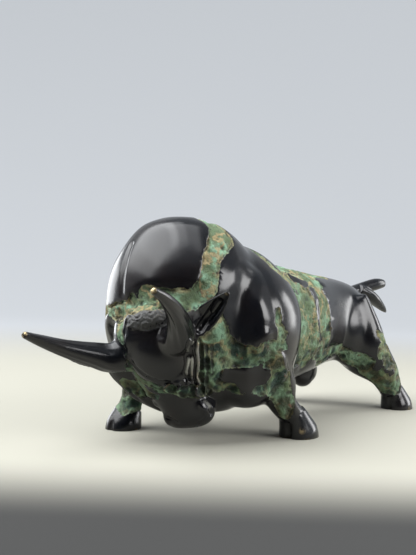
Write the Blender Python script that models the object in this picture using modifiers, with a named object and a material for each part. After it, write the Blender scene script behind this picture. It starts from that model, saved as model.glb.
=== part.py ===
"""A charging bull cast in bronze, standing on its own four hooves.

The bull is one casting, so it is one solid. Its masses are lofted and rounded shapes that are fused
by a voxel remesh, softened, carved and cut flat under the hooves. Metres, +Z up. The bull faces -X,
so its left side is -Y. The origin is under the middle of its bounding box, on the ground.
"""

import math

import bmesh
import bpy
import numpy as np
from mathutils import Euler, Matrix, Vector

# Driving sizes, in metres
BODY_LENGTH = 0.300
HOOF_RADIUS = 0.0118
SMALL_HOOF_RADIUS = 0.0106
HORN_ROOT_RADIUS = 0.0088
HORN_TIP_RADIUS = 0.0019
EAR_HALF_WIDTH = 0.0072
EAR_THICKNESS = 0.0056
TAIL_RADIUS = 0.0052
SHEATH_RADIUS = 0.0085
NOSTRIL_RADIUS = 0.0034
EYE_RADIUS = 0.0034
CLEFT_DEPTH = 0.0016

# The pose and the proportions below are in shares of the length, three hundred to the whole bull
SHARE = BODY_LENGTH / 300.0
BODY_VOXEL = 1.7 * SHARE
DETAIL_VOXEL = 1.15 * SHARE
BODY_SOFTENING = 22
DETAIL_SOFTENING = 3
TRIANGLES = 9200
RING_POINTS = 40
STEPS_BETWEEN = 5
SOLE_SINK = 4.0
BRONZE = (0.030, 0.026, 0.024, 1.0)
LEFT = -1.0
RIGHT = 1.0

# Chest, neck and hump as one boulder: height, middle x and y, half length, half width
NECK = (
    (16, -90, 2, 18, 17),
    (24, -94, 3, 32, 30),
    (44, -103, 5, 44, 42),
    (64, -107, 5.5, 49, 47.5),
    (84, -108, 5, 49.5, 48.5),
    (104, -108, 4.5, 46.5, 45.5),
    (121, -110, 4, 37, 35.5),
    (132, -114, 3, 25, 24),
    (137.4, -117, 1, 10, 10),
)
# A shoulder behind it, given for the bull's right: height, middle x and y, half length, half width
SHOULDER = (
    (26, -84, 22, 22, 18),
    (44, -84, 24, 33, 30),
    (64, -85, 22, 38, 38),
    (84, -85, 20, 38, 39),
    (102, -83, 14, 33, 34),
    (116, -81, 7, 24, 24),
    (123, -80, 2, 12, 12),
)
# The barrel and rump: x, half width, underside, top
BARREL = (
    (-84, 38, 24, 112),
    (-50, 41, 22, 113),
    (-20, 40, 26, 111.5),
    (12, 36, 30, 108.5),
    (44, 32, 35, 105.5),
    (74, 33, 38, 102.5),
    (96, 28.5, 44, 98.5),
    (112, 18, 56, 94),
    (120, 8, 72, 90),
)

# Hollows of the left side, repeated on the right: reach, depth and path. A depth below 0 is a ridge
FLESH = (
    (11, 1.8, ((-120, -33, 114), (-134, -35, 97), (-139, -36, 78))),
    (13, 4.0, ((-124, -42, 92), (-121, -43, 72))),
    (8, -1.6, ((-102, -42, 104), (-107, -48, 89), (-106, -51, 76), (-105, -53, 64))),
    (8, 2.0, ((-101, -54, 92), (-101, -57, 74), (-95, -58, 58))),
    (10, 2.0, ((-104, -56, 60), (-103, -52, 46), (-99, -48, 36))),
    (11, 1.6, ((-34, -26, 98), (-26, -38, 80), (-24, -40, 62), (-20, -36, 44))),
)
# Hollows of the neck, where it turns to the left
HUMP_EDGE = ((-139, -33, 90), (-150, -24, 92), (-158, -6, 90), (-158, 12, 82), (-156, 24, 72), (-148, 32, 58))
NECK_STROKES = [
    (9, 1.6, HUMP_EDGE),
    (3, 1.0, ((-145, 18, 119), (-151, 17, 109), (-154, 16, 98), (-156, 15, 90))),
    (6, 1.4, ((-128, -34, 52), (-112, -43, 51), (-100, -50, 48))),
]


def ring(centre, side, up, half_side, half_up, square, dish=0.0):
    """The points of one section: an ellipse (2) towards a box (higher). A dish scoops its upper face out."""
    points = []
    for step in range(RING_POINTS):
        angle = 2.0 * math.pi * step / RING_POINTS
        c, s = math.cos(angle), math.sin(angle)
        across = half_side * math.copysign(abs(c) ** (2.0 / square), c)
        above = half_up * math.copysign(abs(s) ** (2.0 / square), s)
        above -= half_up * dish * max(s, 0.0) ** 2
        points.append(centre + side * across + up * above)
    return points


def smooth_rows(rows):
    """Catmull-Rom values between rows of numbers, so that a few stations give a flowing form."""
    rows = [np.array(row, float) for row in rows]
    dense = []
    for i in range(len(rows) - 1):
        before, start, end, after = rows[max(i - 1, 0)], rows[i], rows[i + 1], rows[min(i + 2, len(rows) - 1)]
        for step in range(STEPS_BETWEEN):
            t = step / STEPS_BETWEEN
            straight = 2.0 * start + (end - before) * t
            bend = (2.0 * before - 5.0 * start + 4.0 * end - after) * t**2
            twist = (3.0 * start - 3.0 * end + after - before) * t**3
            dense.append(0.5 * (straight + bend + twist))
    dense.append(rows[-1])
    return dense


def skin(rings):
    """A closed mesh through rings of equal count, with a fan on each end."""
    mesh = bmesh.new()
    rows = [[mesh.verts.new(point) for point in points] for points in rings]
    for low, high in zip(rows, rows[1:]):
        for i in range(RING_POINTS):
            j = (i + 1) % RING_POINTS
            mesh.faces.new((low[i], low[j], high[j], high[i]))
    for row in (rows[0], rows[-1]):
        middle = mesh.verts.new(sum((v.co for v in row), Vector()) / RING_POINTS)
        for i in range(RING_POINTS):
            mesh.faces.new((row[i], row[(i + 1) % RING_POINTS], middle))
    bmesh.ops.recalc_face_normals(mesh, faces=mesh.faces)
    made = bpy.data.meshes.new("mass")
    mesh.to_mesh(made)
    mesh.free()
    return made


def limb(stations, up=(0, 0, 1), square=2.0, dish=0.0):
    """A loft along a path. A station is x, y, z, half width across and half height, in shares."""
    rows = smooth_rows(stations)
    hint = Vector(up)
    rings = []
    for i, row in enumerate(rows):
        ahead = Vector(rows[min(i + 1, len(rows) - 1)][:3]) - Vector(rows[max(i - 1, 0)][:3])
        ahead.normalize()
        side = hint.cross(ahead).normalized()
        half_side, half_up = max(row[3], 0.2) * SHARE, max(row[4], 0.2) * SHARE
        rings.append(ring(Vector(row[:3]) * SHARE, side, ahead.cross(side), half_side, half_up, square, dish))
    return skin(rings)


def ball(centre, radii, turn=(0, 0, 0)):
    """An ellipsoid; turn is in degrees about X, Y and Z."""
    mesh = bmesh.new()
    bmesh.ops.create_uvsphere(mesh, u_segments=32, v_segments=20, radius=1.0)
    place = (
        Matrix.Translation(Vector(centre) * SHARE)
        @ Euler([math.radians(a) for a in turn]).to_matrix().to_4x4()
        @ Matrix.Diagonal([r * SHARE for r in radii] + [1.0])
    )
    mesh.transform(place)
    made = bpy.data.meshes.new("ball")
    mesh.to_mesh(made)
    mesh.free()
    return made


def upright(stations, side=RIGHT, square=2.1):
    """A loft of plan sections, one above another."""
    rings = []
    for height, x, y, half_length, half_width in smooth_rows(stations):
        rings.append(
            ring(
                Vector((x, y * side, height)) * SHARE,
                Vector((1, 0, 0)),
                Vector((0, 1, 0)),
                half_length * SHARE,
                half_width * SHARE,
                square,
            )
        )
    return skin(rings)


def barrel():
    """Ribs, belly, loin and rump."""
    return limb([(x, 0, (low + top) / 2, half, (top - low) / 2) for x, half, low, top in BARREL], square=2.3)


def brisket(side):
    """The round of the chest at the root of a foreleg, the left one deeper."""
    if side == LEFT:
        return ball((-88, -30, 38), (24, 20, 18))
    return ball((-86, 27, 40), (24, 20, 17))


def foreleg(side, knee, hoof):
    """From the elbow to the fetlock; knee and hoof are the places of the joint and the foot."""
    (kx, ky, kz), (x, y) = knee, hoof
    stations = [
        (-82, 38 * side, 62, 22, 20),
        (-80, 40 * side, 46, 17, 16),
        (kx, ky, kz + 6, 10.5, 9.8),
        (kx, ky, kz - 3, 9.5, 9.0),
        (x * 0.7 + kx * 0.3, y * 0.7 + ky * 0.3, 12, 8.2, 8.2),
        (x, y, 4, 9, 9.5),
    ]
    return limb(stations, up=(1, 0, 0))


def hindleg(side, hock, hoof):
    """Thigh, hock and cannon, stretched out behind the bull."""
    (hx, hy, hz), (x, y) = hock, hoof
    stations = [
        (70, 14 * side, 84, 24, 10),
        (74, 23 * side, 62, 24, 15),
        (78, 31.5 * side, 46, 21, 16),
        (hx, hy, hz, 13, 12.5),
        (x * 0.55 + hx * 0.45, y * 0.55 + hy * 0.45, 15, 9, 9.5),
        (x, y, 4, 9, 9.5),
    ]
    return [ball((72, 24.5 * side, 63), (26.5, 15.5, 30), (0, 18, 0)), limb(stations, up=(1, 0, 0))]


def hoof(joint, foot, radius):
    """A foot that follows its leg and widens to the ground, longer towards the toe."""
    (joint_x, joint_y, joint_z), (x, y) = joint, foot
    radius = radius / SHARE
    stations = []
    flare = ((16, 0.72, 0.72, 0.0), (10, 0.86, 0.90, 0.3), (4, 1.0, 1.1, 1.0), (0, 1.0, 1.15, 1.5))
    for height, wide, long, toe in flare:
        lean = 0.8 * height / joint_z
        place = (x - toe + (joint_x - x) * lean, y + (joint_y - y) * lean, height)
        stations.append(place + (radius * wide, radius * long))
    stations.append((x - 1.5, y, -SOLE_SINK, radius, radius * 1.15))
    return limb(stations, up=(1, 0, 0), square=2.2)


FORE_LEFT, FORE_RIGHT = (-50, -48.5), (-110.5, 49.7)
HIND_LEFT, HIND_RIGHT = (109, -48.5), (74, 42)
KNEE_LEFT, KNEE_RIGHT = (-71, -45, 28), (-105, 46.5, 27)
HOCK_LEFT, HOCK_RIGHT = (90, -43, 30), (70, 38, 30)


def tail():
    """A tail flung up off the rump, with its tuft falling to the left."""
    radius = TAIL_RADIUS / SHARE
    upper = [
        (112, 0, 88, 8, 8),
        (128, -3, 94.5, radius, radius),
        (146, -9, 99, radius, radius),
        (156, -12, 100, radius * 0.7, radius * 0.7),
    ]
    tuft = [
        (122, -5, 94, radius, radius),
        (136, -10, 88, radius * 1.3, radius),
        (151, -14, 79, radius * 0.6, radius * 0.6),
        (157, -15, 75, 1, 1),
    ]
    return [limb(upper), limb(tuft)]


def sheath():
    """The sheath hanging under the belly."""
    radius = SHEATH_RADIUS / SHARE
    return [
        ball((41, 0, 34), (radius * 1.7, radius, radius * 1.2), (0, 20, 0)),
        ball((37, 0, 27), (radius * 1.2, radius * 0.8, radius)),
    ]


# The head, tucked in, turned to the bull's left and tilted so that its left horn is the higher one
BROW = (-158.3, -5.4, 56.6)
HEAD_TURN = 24.0
HEAD_TUCK = 24.0
HEAD_TILT = 21.0
RUFF_RIGHT, RUFF_LEFT = 9.0, 6.0
EAR_DISH = 1.25
EAR_DROOP = 0.18


def head_frame():
    """The head's axes in the bull's frame: out of the face, to its left and up, as columns."""
    turn = Euler((0, 0, math.radians(HEAD_TURN))).to_matrix()
    tuck = Euler((0, math.radians(-HEAD_TUCK), 0)).to_matrix()
    tilt = Euler((math.radians(-HEAD_TILT), 0, 0)).to_matrix()
    return turn @ tuck @ tilt @ Matrix(((-1, 0, 0), (0, -1, 0), (0, 0, 1)))


def at_head(out, left, up):
    """A point of the head, measured from the brow between the horns."""
    return Vector(BROW) + head_frame() @ Vector((out, left, up))


def head_limb(stations, **more):
    """A loft whose stations are in the head's own axes."""
    return limb([tuple(at_head(*s[:3])) + tuple(s[3:]) for s in stations], **more)


def head_ball(place, radii, turn=(0, 0, 0)):
    """A ball placed and turned with the head. Its radii are out, across and up the face."""
    mesh = ball((0, 0, 0), radii, turn)
    mesh.transform(Matrix.Translation(at_head(*place) * SHARE) @ head_frame().to_4x4())
    return mesh


def skull():
    """Skull, forehead dome, topknot, brows and eyes."""
    stations = [
        (-22, 0, 16, 17, 14),
        (-20, 0, 6, 21, 20),
        (-19, 0, -8, 21, 19),
        (-18, 0, -22, 18.5, 17.5),
        (-17, 1, -36, 16.0, 14.5),
        (-15.5, 2.5, -46, 15, 12.8),
        (-14.5, 3.3, -51.5, 15.8, 12.2),
        (-14.5, 3.5, -54.5, 14.6, 10.8),
        (-15, 3.2, -56.5, 11, 7.5),
    ]
    face = [
        head_limb(stations, up=head_frame() @ Vector((1, 0, 0)), square=2.4),
        head_ball((-9, 3, -7), (12.5, 18.5, 20)),
        head_ball((-11, 5, 15), (9, 14, 8)),
    ]
    eye = EYE_RADIUS / SHARE
    for left in (-1, 1):
        face.append(head_ball((-9.5, 2 + 13 * left, -36), (eye, eye, eye * 1.3)))
        face.append(head_ball((-8, 1 + 10.5 * left, -28), (4.5, 6, 3), (-18 * left, 0, 0)))
    return face


def ruff(side):
    """The long hair of the cheek, fuller on the right where the head turns away from the neck."""
    fullness = RUFF_RIGHT if side == RIGHT else RUFF_LEFT
    steps = (
        (-17, 15, 2, 0.9),
        (-18, 18, -10, 1.0),
        (-18, 16.0, -20, 0.92),
        (-17.5, 13.5, -29, 0.82),
        (-16, 9, -38, 0.7),
    )
    stations = []
    for out, left, high, share in steps:
        radius = fullness * share
        stations.append((out, (left + fullness * 0.9) * -side, high, radius, radius))
    return head_limb(stations, up=head_frame() @ Vector((1, 0, 0)))


def horn(side):
    """One horn: out of the brow, then forward, and up to a blunt tip. The right one is slimmer."""
    root, tip = HORN_ROOT_RADIUS / SHARE, HORN_TIP_RADIUS / SHARE
    slim = 0.93 if side == RIGHT else 1.0
    steps = (
        (-12, 10, -2, root * 1.4),
        (-4.3, 21.8, 1.3, root * 1.1 * slim),
        (2.8, 28.7, 9.8, root * 0.84 * slim),
        (14.2, 35.3, 22.5, root * 0.58 * slim),
        (26.1, 38.9, 35.4, root * 0.4 * slim),
        (36.5, 39.5, 45.4, tip),
    )
    up = head_frame() @ Vector((0, 0, 1))
    return head_limb([(out, left * -side, high, r, r) for out, left, high, r in steps], up=up)


def ear(side):
    """A leaf-shaped ear behind the horn, its open face dished. The right one droops."""
    wide, thick = EAR_HALF_WIDTH / SHARE, EAR_THICKNESS / SHARE / 2
    droop = EAR_DROOP if side == RIGHT else 0.0
    steps = (
        (-15, 18, -4, 0.5, 1.6),
        (-15, 26, -2, 0.8, 1.1),
        (-15, 37, 3, 1.0, 1.0),
        (-15, 48, 8.5, 0.7, 0.9),
        (-15.5, 56.7, 13.3, 0.15, 0.6),
    )
    stations = []
    for out, left, high, w, t in steps:
        stations.append((out, left * -side, high - droop * (left - 18), wide * w, thick * t))
    return head_limb(stations, up=head_frame() @ Vector((1, 0, 0)), square=2.6, dish=EAR_DISH)


def throat():
    """From the neck down to the back of the head."""
    stations = [
        (-112, 4, 88, 38, 32),
        (-126, 2, 76, 31, 27),
        (-137, -1, 66, 22, 21),
        (-144, -3, 60, 16, 16),
    ]
    return limb(stations)


def nostril(side):
    """The flared wing of a nostril at the corner of the muzzle."""
    radius, left = NOSTRIL_RADIUS / SHARE, -side
    radii = (radius * 1.5, radius * 0.8, radius * 1.9)
    return head_ball((-9.5, 3 + 12.5 * left, -48.5), radii, (10 * left, 25, 0))


def fuse(name, meshes, voxel, passes):
    """One closed skin round all the meshes, softened."""
    mesh = bmesh.new()
    for each in meshes:
        mesh.from_mesh(each)
        bpy.data.meshes.remove(each)
    joined = bpy.data.meshes.new(name)
    mesh.to_mesh(joined)
    mesh.free()
    made = bpy.data.objects.new(name, joined)
    bpy.context.scene.collection.objects.link(made)
    remesh = made.modifiers.new("one_skin", "REMESH")
    remesh.mode = "VOXEL"
    remesh.voxel_size = voxel
    soften = made.modifiers.new("soften", "SMOOTH")
    soften.factor = 0.5
    soften.iterations = passes
    return settled(made)


def settled(made):
    """The object's mesh with its modifiers applied; the object is removed."""
    graph = bpy.context.evaluated_depsgraph_get()
    mesh = bpy.data.meshes.new_from_object(made.evaluated_get(graph))
    bpy.data.objects.remove(made)
    return mesh


def distance_to(points, path):
    """How far each point is from a path of straight runs."""
    nearest = np.full(len(points), 1e9)
    for start, end in zip(path, path[1:]):
        start, run = np.array(start, float), np.array(end, float) - np.array(start, float)
        along = np.clip((points - start) @ run / (run @ run), 0.0, 1.0)
        nearest = np.minimum(nearest, np.linalg.norm(points - start - along[:, None] * run, axis=1))
    return nearest


def carve(mesh, strokes):
    """Presses soft-edged hollows into the skin. A stroke is its reach, its depth and its path."""
    count = len(mesh.vertices)
    points, normals = np.empty(count * 3), np.empty(count * 3)
    mesh.vertices.foreach_get("co", points)
    mesh.vertex_normals.foreach_get("vector", normals)
    points, normals = points.reshape(-1, 3) / SHARE, normals.reshape(-1, 3)
    push = np.zeros(count)
    for reach, depth, path in strokes:
        push += depth * np.clip(1.0 - (distance_to(points, path) / reach) ** 2, 0.0, 1.0) ** 1.5
    mesh.vertices.foreach_set("co", ((points - normals * push[:, None]) * SHARE).ravel())
    mesh.update()


def both_sides(strokes):
    """The strokes given for the bull's left, and the same on its right."""
    right = [(reach, depth, [(x, -y, z) for x, y, z in path]) for reach, depth, path in strokes]
    return list(strokes) + right


def cut_flat(mesh):
    """Cuts the feet off flat on the ground, and puts the origin under the middle of the bull."""
    work = bmesh.new()
    work.from_mesh(mesh)
    everything = work.verts[:] + work.edges[:] + work.faces[:]
    cut = bmesh.ops.bisect_plane(
        work, geom=everything, plane_co=(0, 0, 0), plane_no=(0, 0, 1), clear_inner=True
    )
    edges = [e for e in cut["geom_cut"] if isinstance(e, bmesh.types.BMEdge)]
    bmesh.ops.holes_fill(work, edges=edges, sides=0)
    bmesh.ops.dissolve_degenerate(work, edges=work.edges, dist=2e-5)
    bmesh.ops.triangulate(work, faces=work.faces)
    bmesh.ops.recalc_face_normals(work, faces=work.faces)
    low = Vector([min(v.co[k] for v in work.verts) for k in range(3)])
    high = Vector([max(v.co[k] for v in work.verts) for k in range(3)])
    middle = (low + high) / 2.0
    bmesh.ops.translate(work, verts=work.verts, vec=(-middle.x, -middle.y, 0.0))
    print("moved by", -middle.x, -middle.y, "size", high - low)
    work.to_mesh(mesh)
    work.free()


def thinned(mesh, triangles):
    """The mesh with about so many triangles, its form kept."""
    made = bpy.data.objects.new("thinned", mesh)
    bpy.context.scene.collection.objects.link(made)
    thin = made.modifiers.new("thin", "DECIMATE")
    thin.use_collapse_triangulate = True
    thin.ratio = triangles / (2.0 * len(mesh.polygons))
    return settled(made)


def patinated_bronze():
    """Dark polished bronze."""
    bronze = bpy.data.materials.new("bronze")
    bronze.use_nodes = True
    shader = bronze.node_tree.nodes["Principled BSDF"]
    shader.inputs["Base Color"].default_value = BRONZE
    shader.inputs["Roughness"].default_value = 0.22
    shader.inputs["Metallic"].default_value = 0.6
    bronze.diffuse_color = BRONZE
    return bronze


def body():
    """Trunk and legs as one soft form."""
    masses = [upright(NECK), barrel(), throat()]
    for side in (LEFT, RIGHT):
        masses += [upright(SHOULDER, side), brisket(side)]
    masses += [foreleg(LEFT, KNEE_LEFT, FORE_LEFT), foreleg(RIGHT, KNEE_RIGHT, FORE_RIGHT)]
    masses += hindleg(LEFT, HOCK_LEFT, HIND_LEFT)
    masses += hindleg(RIGHT, HOCK_RIGHT, HIND_RIGHT)
    mesh = fuse("body", masses, BODY_VOXEL, BODY_SOFTENING)
    carve(mesh, both_sides(FLESH) + NECK_STROKES)
    return mesh


def cleft(place):
    """The split between the two toes of a hoof."""
    x, y = place
    toe = x - 1.5 - HOOF_RADIUS / SHARE * 1.2
    return (3.0, CLEFT_DEPTH / SHARE, ((toe + 3, y, 13), (toe, y, 8), (toe - 1, y, 0)))


def jaw_groove(side):
    """The groove that parts the head from the neck, from behind the ear to the jaw."""
    steps = ((-23, 23, 10), (-25, 23, -8), (-27, 20, -26), (-27, 16, -44))
    return (7.0, 2.4, [at_head(out, left * -side, high) for out, left, high in steps])


def bull_mesh():
    """The whole bull as one skin, before it is thinned and cut flat."""
    pieces = [
        body(),
        hoof(KNEE_LEFT, FORE_LEFT, HOOF_RADIUS),
        hoof(KNEE_RIGHT, FORE_RIGHT, SMALL_HOOF_RADIUS),
        hoof(HOCK_LEFT, HIND_LEFT, HOOF_RADIUS),
        hoof(HOCK_RIGHT, HIND_RIGHT, HOOF_RADIUS),
    ]
    pieces += tail() + sheath() + skull()
    for side in (LEFT, RIGHT):
        pieces += [horn(side), ear(side), nostril(side), ruff(side)]
    mesh = fuse("bull", pieces, DETAIL_VOXEL, DETAIL_SOFTENING)
    strokes = [cleft(place) for place in (FORE_LEFT, FORE_RIGHT, HIND_LEFT, HIND_RIGHT)]
    strokes += [jaw_groove(side) for side in (LEFT, RIGHT)]
    carve(mesh, strokes)
    return mesh


def main():
    """Builds the bull."""
    for each in list(bpy.data.objects):
        bpy.data.objects.remove(each)
    mesh = thinned(bull_mesh(), TRIANGLES)
    cut_flat(mesh)
    mesh.name = "bull"
    mesh.materials.clear()
    mesh.materials.append(patinated_bronze())
    bull = bpy.data.objects.new("bull", mesh)
    home = bpy.data.collections.new("bull_sculpture")
    bpy.context.scene.collection.children.link(home)
    home.objects.link(bull)


main()
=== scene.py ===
"""A charging bull in cast bronze: dark polished skin broken by rough channels of green patina.

The bull faces -X, so its left side is -Y. The forms are given in shares, three hundred to the length
of its body, from a point between its legs. The casting is then centred as the frame holds it.
"""

import logging
import math
from collections.abc import Iterable, Sequence
from dataclasses import dataclass, field
from enum import Enum

import bmesh
import bpy
import numpy as np
from mathutils import Euler, Matrix, Vector
from mathutils.kdtree import KDTree


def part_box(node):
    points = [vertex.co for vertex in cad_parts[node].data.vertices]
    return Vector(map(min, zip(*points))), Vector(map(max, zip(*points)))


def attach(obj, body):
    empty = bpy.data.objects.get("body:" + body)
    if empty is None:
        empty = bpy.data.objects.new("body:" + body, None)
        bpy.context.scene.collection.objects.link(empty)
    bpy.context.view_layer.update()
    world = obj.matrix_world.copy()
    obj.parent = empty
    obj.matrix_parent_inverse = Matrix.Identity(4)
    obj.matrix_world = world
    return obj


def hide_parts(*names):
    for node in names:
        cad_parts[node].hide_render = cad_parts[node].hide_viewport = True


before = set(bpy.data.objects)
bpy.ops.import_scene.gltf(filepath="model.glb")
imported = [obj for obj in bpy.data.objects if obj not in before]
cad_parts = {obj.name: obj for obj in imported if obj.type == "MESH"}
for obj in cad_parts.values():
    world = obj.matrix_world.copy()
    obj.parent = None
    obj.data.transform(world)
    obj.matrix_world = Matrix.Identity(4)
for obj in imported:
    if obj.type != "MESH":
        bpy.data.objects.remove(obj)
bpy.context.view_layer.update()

Numbers = tuple[float, ...]
Path = tuple[Numbers, ...]

BODY_LENGTH = 0.300
SHARE = BODY_LENGTH / 300.0
RING_POINTS = 40
STEPS_BETWEEN = 5
FAR = 60.0
Socket, Mesh = bpy.types.NodeSocket, bpy.types.Mesh
BAND_SEED, RIDGE_SEED, CRAG_SEED, GRIT_SEED = 21, 31, 32, 33
WARP_SEEDS, FRAY_SEEDS = (11, 12, 13), (14, 15, 16)
MOVED = 0.032175
log = logging.getLogger("bull")


class Side(Enum):
    """The bull's own sides, by the sign of Y."""

    LEFT = -1.0
    RIGHT = 1.0


class Skin(Enum):
    """The two finishes of the bronze."""

    PATINA = "rough green patina, lying low"
    POLISH = "dark polish, standing proud"


# Building blocks


def ring(
    centre: Vector,
    side: Vector,
    up: Vector,
    half_side: float,
    half_up: float,
    square: float,
    dish: float = 0.0,
) -> list[Vector]:
    """The points of one section.

    Args:
        centre: the middle of the section, in metres.
        side: the direction across it.
        up: the direction up it.
        half_side: half its width, in metres.
        half_up: half its height, in metres.
        square: 2 for an ellipse, higher towards a box.
        dish: how far its upper face is scooped out, as a share of half its height.

    Returns:
        The points in order round the section.
    """
    points = []
    for step in range(RING_POINTS):
        angle = 2.0 * math.pi * step / RING_POINTS
        c, s = math.cos(angle), math.sin(angle)
        across = half_side * math.copysign(abs(c) ** (2.0 / square), c)
        above = half_up * math.copysign(abs(s) ** (2.0 / square), s)
        above -= half_up * dish * max(s, 0.0) ** 2
        points.append(centre + side * across + up * above)
    return points


def smooth_rows(rows: Sequence[Numbers]) -> list[np.ndarray]:
    """Catmull-Rom values between rows of numbers, so that a few stations give a flowing form.

    Args:
        rows: the stations.

    Returns:
        The stations with more between them.
    """
    known = [np.array(row, float) for row in rows]
    dense = []
    for i in range(len(known) - 1):
        start, end = known[i], known[i + 1]
        before, after = known[max(i - 1, 0)], known[min(i + 2, len(known) - 1)]
        for step in range(STEPS_BETWEEN):
            t = step / STEPS_BETWEEN
            straight = 2.0 * start + (end - before) * t
            bend = (2.0 * before - 5.0 * start + 4.0 * end - after) * t**2
            twist = (3.0 * start - 3.0 * end + after - before) * t**3
            dense.append(0.5 * (straight + bend + twist))
    dense.append(known[-1])
    return dense


def skinned(rings: Sequence[Sequence[Vector]]) -> Mesh:
    """A closed mesh through rings of equal count.

    Args:
        rings: the sections in order.

    Returns:
        The mesh, with a fan on each end.
    """
    work = bmesh.new()
    rows = [[work.verts.new(point) for point in points] for points in rings]
    for low, high in zip(rows, rows[1:]):
        for i in range(RING_POINTS):
            j = (i + 1) % RING_POINTS
            work.faces.new((low[i], low[j], high[j], high[i]))
    for row in (rows[0], rows[-1]):
        middle = work.verts.new(sum((v.co for v in row), Vector()) / RING_POINTS)
        for i in range(RING_POINTS):
            work.faces.new((row[i], row[(i + 1) % RING_POINTS], middle))
    bmesh.ops.recalc_face_normals(work, faces=work.faces)
    return as_mesh(work, "mass")


def as_mesh(work: bmesh.types.BMesh, name: str) -> Mesh:
    """Ends an edit.

    Args:
        work: the edited mesh, which is freed.
        name: the name of the result.

    Returns:
        The mesh as a data block.
    """
    made = bpy.data.meshes.new(name)
    work.to_mesh(made)
    work.free()
    return made


def limb(
    stations: Sequence[Numbers], up: Numbers = (0, 0, 1), square: float = 2.0, dish: float = 0.0
) -> Mesh:
    """A loft along a path.

    Args:
        stations: rows of x, y, z, half width across and half height, in shares.
        up: the direction that the sections' height leans to.
        square: 2 for round sections, higher towards boxes.
        dish: how far the sections' upper face is scooped out.

    Returns:
        The closed mesh.
    """
    rows = smooth_rows(stations)
    rings = []
    for i, row in enumerate(rows):
        ahead = Vector(rows[min(i + 1, len(rows) - 1)][:3]) - Vector(rows[max(i - 1, 0)][:3])
        ahead.normalize()
        side = Vector(up).cross(ahead).normalized()
        half_side, half_up = max(row[3], 0.2) * SHARE, max(row[4], 0.2) * SHARE
        rings.append(ring(Vector(row[:3]) * SHARE, side, ahead.cross(side), half_side, half_up, square, dish))
    return skinned(rings)


def upright(stations: Sequence[Numbers], side: Side = Side.RIGHT, square: float = 2.1) -> Mesh:
    """A loft of level sections, one above another.

    Args:
        stations: rows of height, middle x and y, half length and half width, in shares.
        side: the side of the bull that it is for.
        square: 2 for round sections, higher towards boxes.

    Returns:
        The closed mesh.
    """
    along, across = Vector((1, 0, 0)), Vector((0, 1, 0))
    rings = []
    for height, x, y, half_length, half_width in smooth_rows(stations):
        centre = Vector((x, y * side.value, height)) * SHARE
        rings.append(ring(centre, along, across, half_length * SHARE, half_width * SHARE, square))
    return skinned(rings)


def ball(centre: Numbers, radii: Numbers, turn: Numbers = (0, 0, 0)) -> Mesh:
    """An ellipsoid.

    Args:
        centre: its middle, in shares.
        radii: its radii along X, Y and Z, in shares.
        turn: degrees about X, Y and Z.

    Returns:
        The closed mesh.
    """
    work = bmesh.new()
    bmesh.ops.create_uvsphere(work, u_segments=48, v_segments=32, radius=1.0)
    turned = Euler([math.radians(a) for a in turn]).to_matrix().to_4x4()
    sized = Matrix.Diagonal([r * SHARE for r in radii] + [1.0])
    work.transform(Matrix.Translation(Vector(centre) * SHARE) @ turned @ sized)
    return as_mesh(work, "ball")


# Measuring along paths


def inside_rounds(points: np.ndarray, rounds: Path) -> np.ndarray:
    """How deep points lie inside a run of rounds.

    Args:
        points: the points, in shares.
        rounds: x, y, z and radius of each round, joined by straight cones.

    Returns:
        The depth of each point, in shares, negative outside.
    """
    depth = np.full(len(points), -FAR)
    for start, end in zip(rounds, rounds[1:] or rounds):
        a, b = np.array(start, float), np.array(end, float)
        margin = max(a[3], b[3]) + 6.0
        low, high = np.minimum(a, b)[:3] - margin, np.maximum(a, b)[:3] + margin
        near = np.flatnonzero(np.all((points > low) & (points < high), axis=1))
        run = b[:3] - a[:3]
        along = np.clip((points[near] - a[:3]) @ run / max(run @ run, 1e-9), 0.0, 1.0)
        gap = np.linalg.norm(points[near] - a[:3] - along[:, None] * run, axis=1)
        depth[near] = np.maximum(depth[near], a[3] + (b[3] - a[3]) * along - gap)
    return depth


def soft_step(value: np.ndarray) -> np.ndarray:
    """Runs smoothly from 0 to 1 while the value does."""
    t = np.clip(value, 0.0, 1.0)
    return t * t * (3.0 - 2.0 * t)


@dataclass(frozen=True)
class Stroke:
    """A soft-edged hollow pressed along a path, or a ridge raised where its depth is negative."""

    reach: float
    depth: float
    path: Path
    fullness: float = 1.5

    def sink(self, points: np.ndarray) -> np.ndarray:
        """How far each point sinks, in shares.

        Args:
            points: points in shares, one to a row.

        Returns:
            One number for each point.
        """
        rounds = tuple(tuple(place) + (self.reach,) for place in self.path)
        gap = np.clip((self.reach - inside_rounds(points, rounds)) / self.reach, 0.0, 1.0)
        return self.depth * (1.0 - gap**2) ** self.fullness

    def mirrored(self) -> "Stroke":
        """The same on the other side of the bull."""
        return Stroke(self.reach, self.depth, tuple((x, -y, z) for x, y, z in self.path), self.fullness)


@dataclass(frozen=True)
class Grain:
    """Smooth seeded noise in space, between -1 and 1."""

    seed: int
    cells: int = 32

    def at(self, points: np.ndarray, size: float) -> np.ndarray:
        """The noise at some points.

        Args:
            points: the points, in shares.
            size: the size of its lumps, in shares.

        Returns:
            One value for each point.
        """
        block = np.random.default_rng(self.seed).uniform(-1.0, 1.0, (self.cells,) * 3)
        place = points / size
        low = np.floor(place).astype(int)
        t = soft_step(place - low)
        total = np.zeros(len(points))
        for corner in np.ndindex(2, 2, 2):
            index = (low + corner) % self.cells
            weight = np.prod(np.where(corner, t, 1.0 - t), axis=1)
            total += weight * block[index[:, 0], index[:, 1], index[:, 2]]
        return total


# The masses


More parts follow.
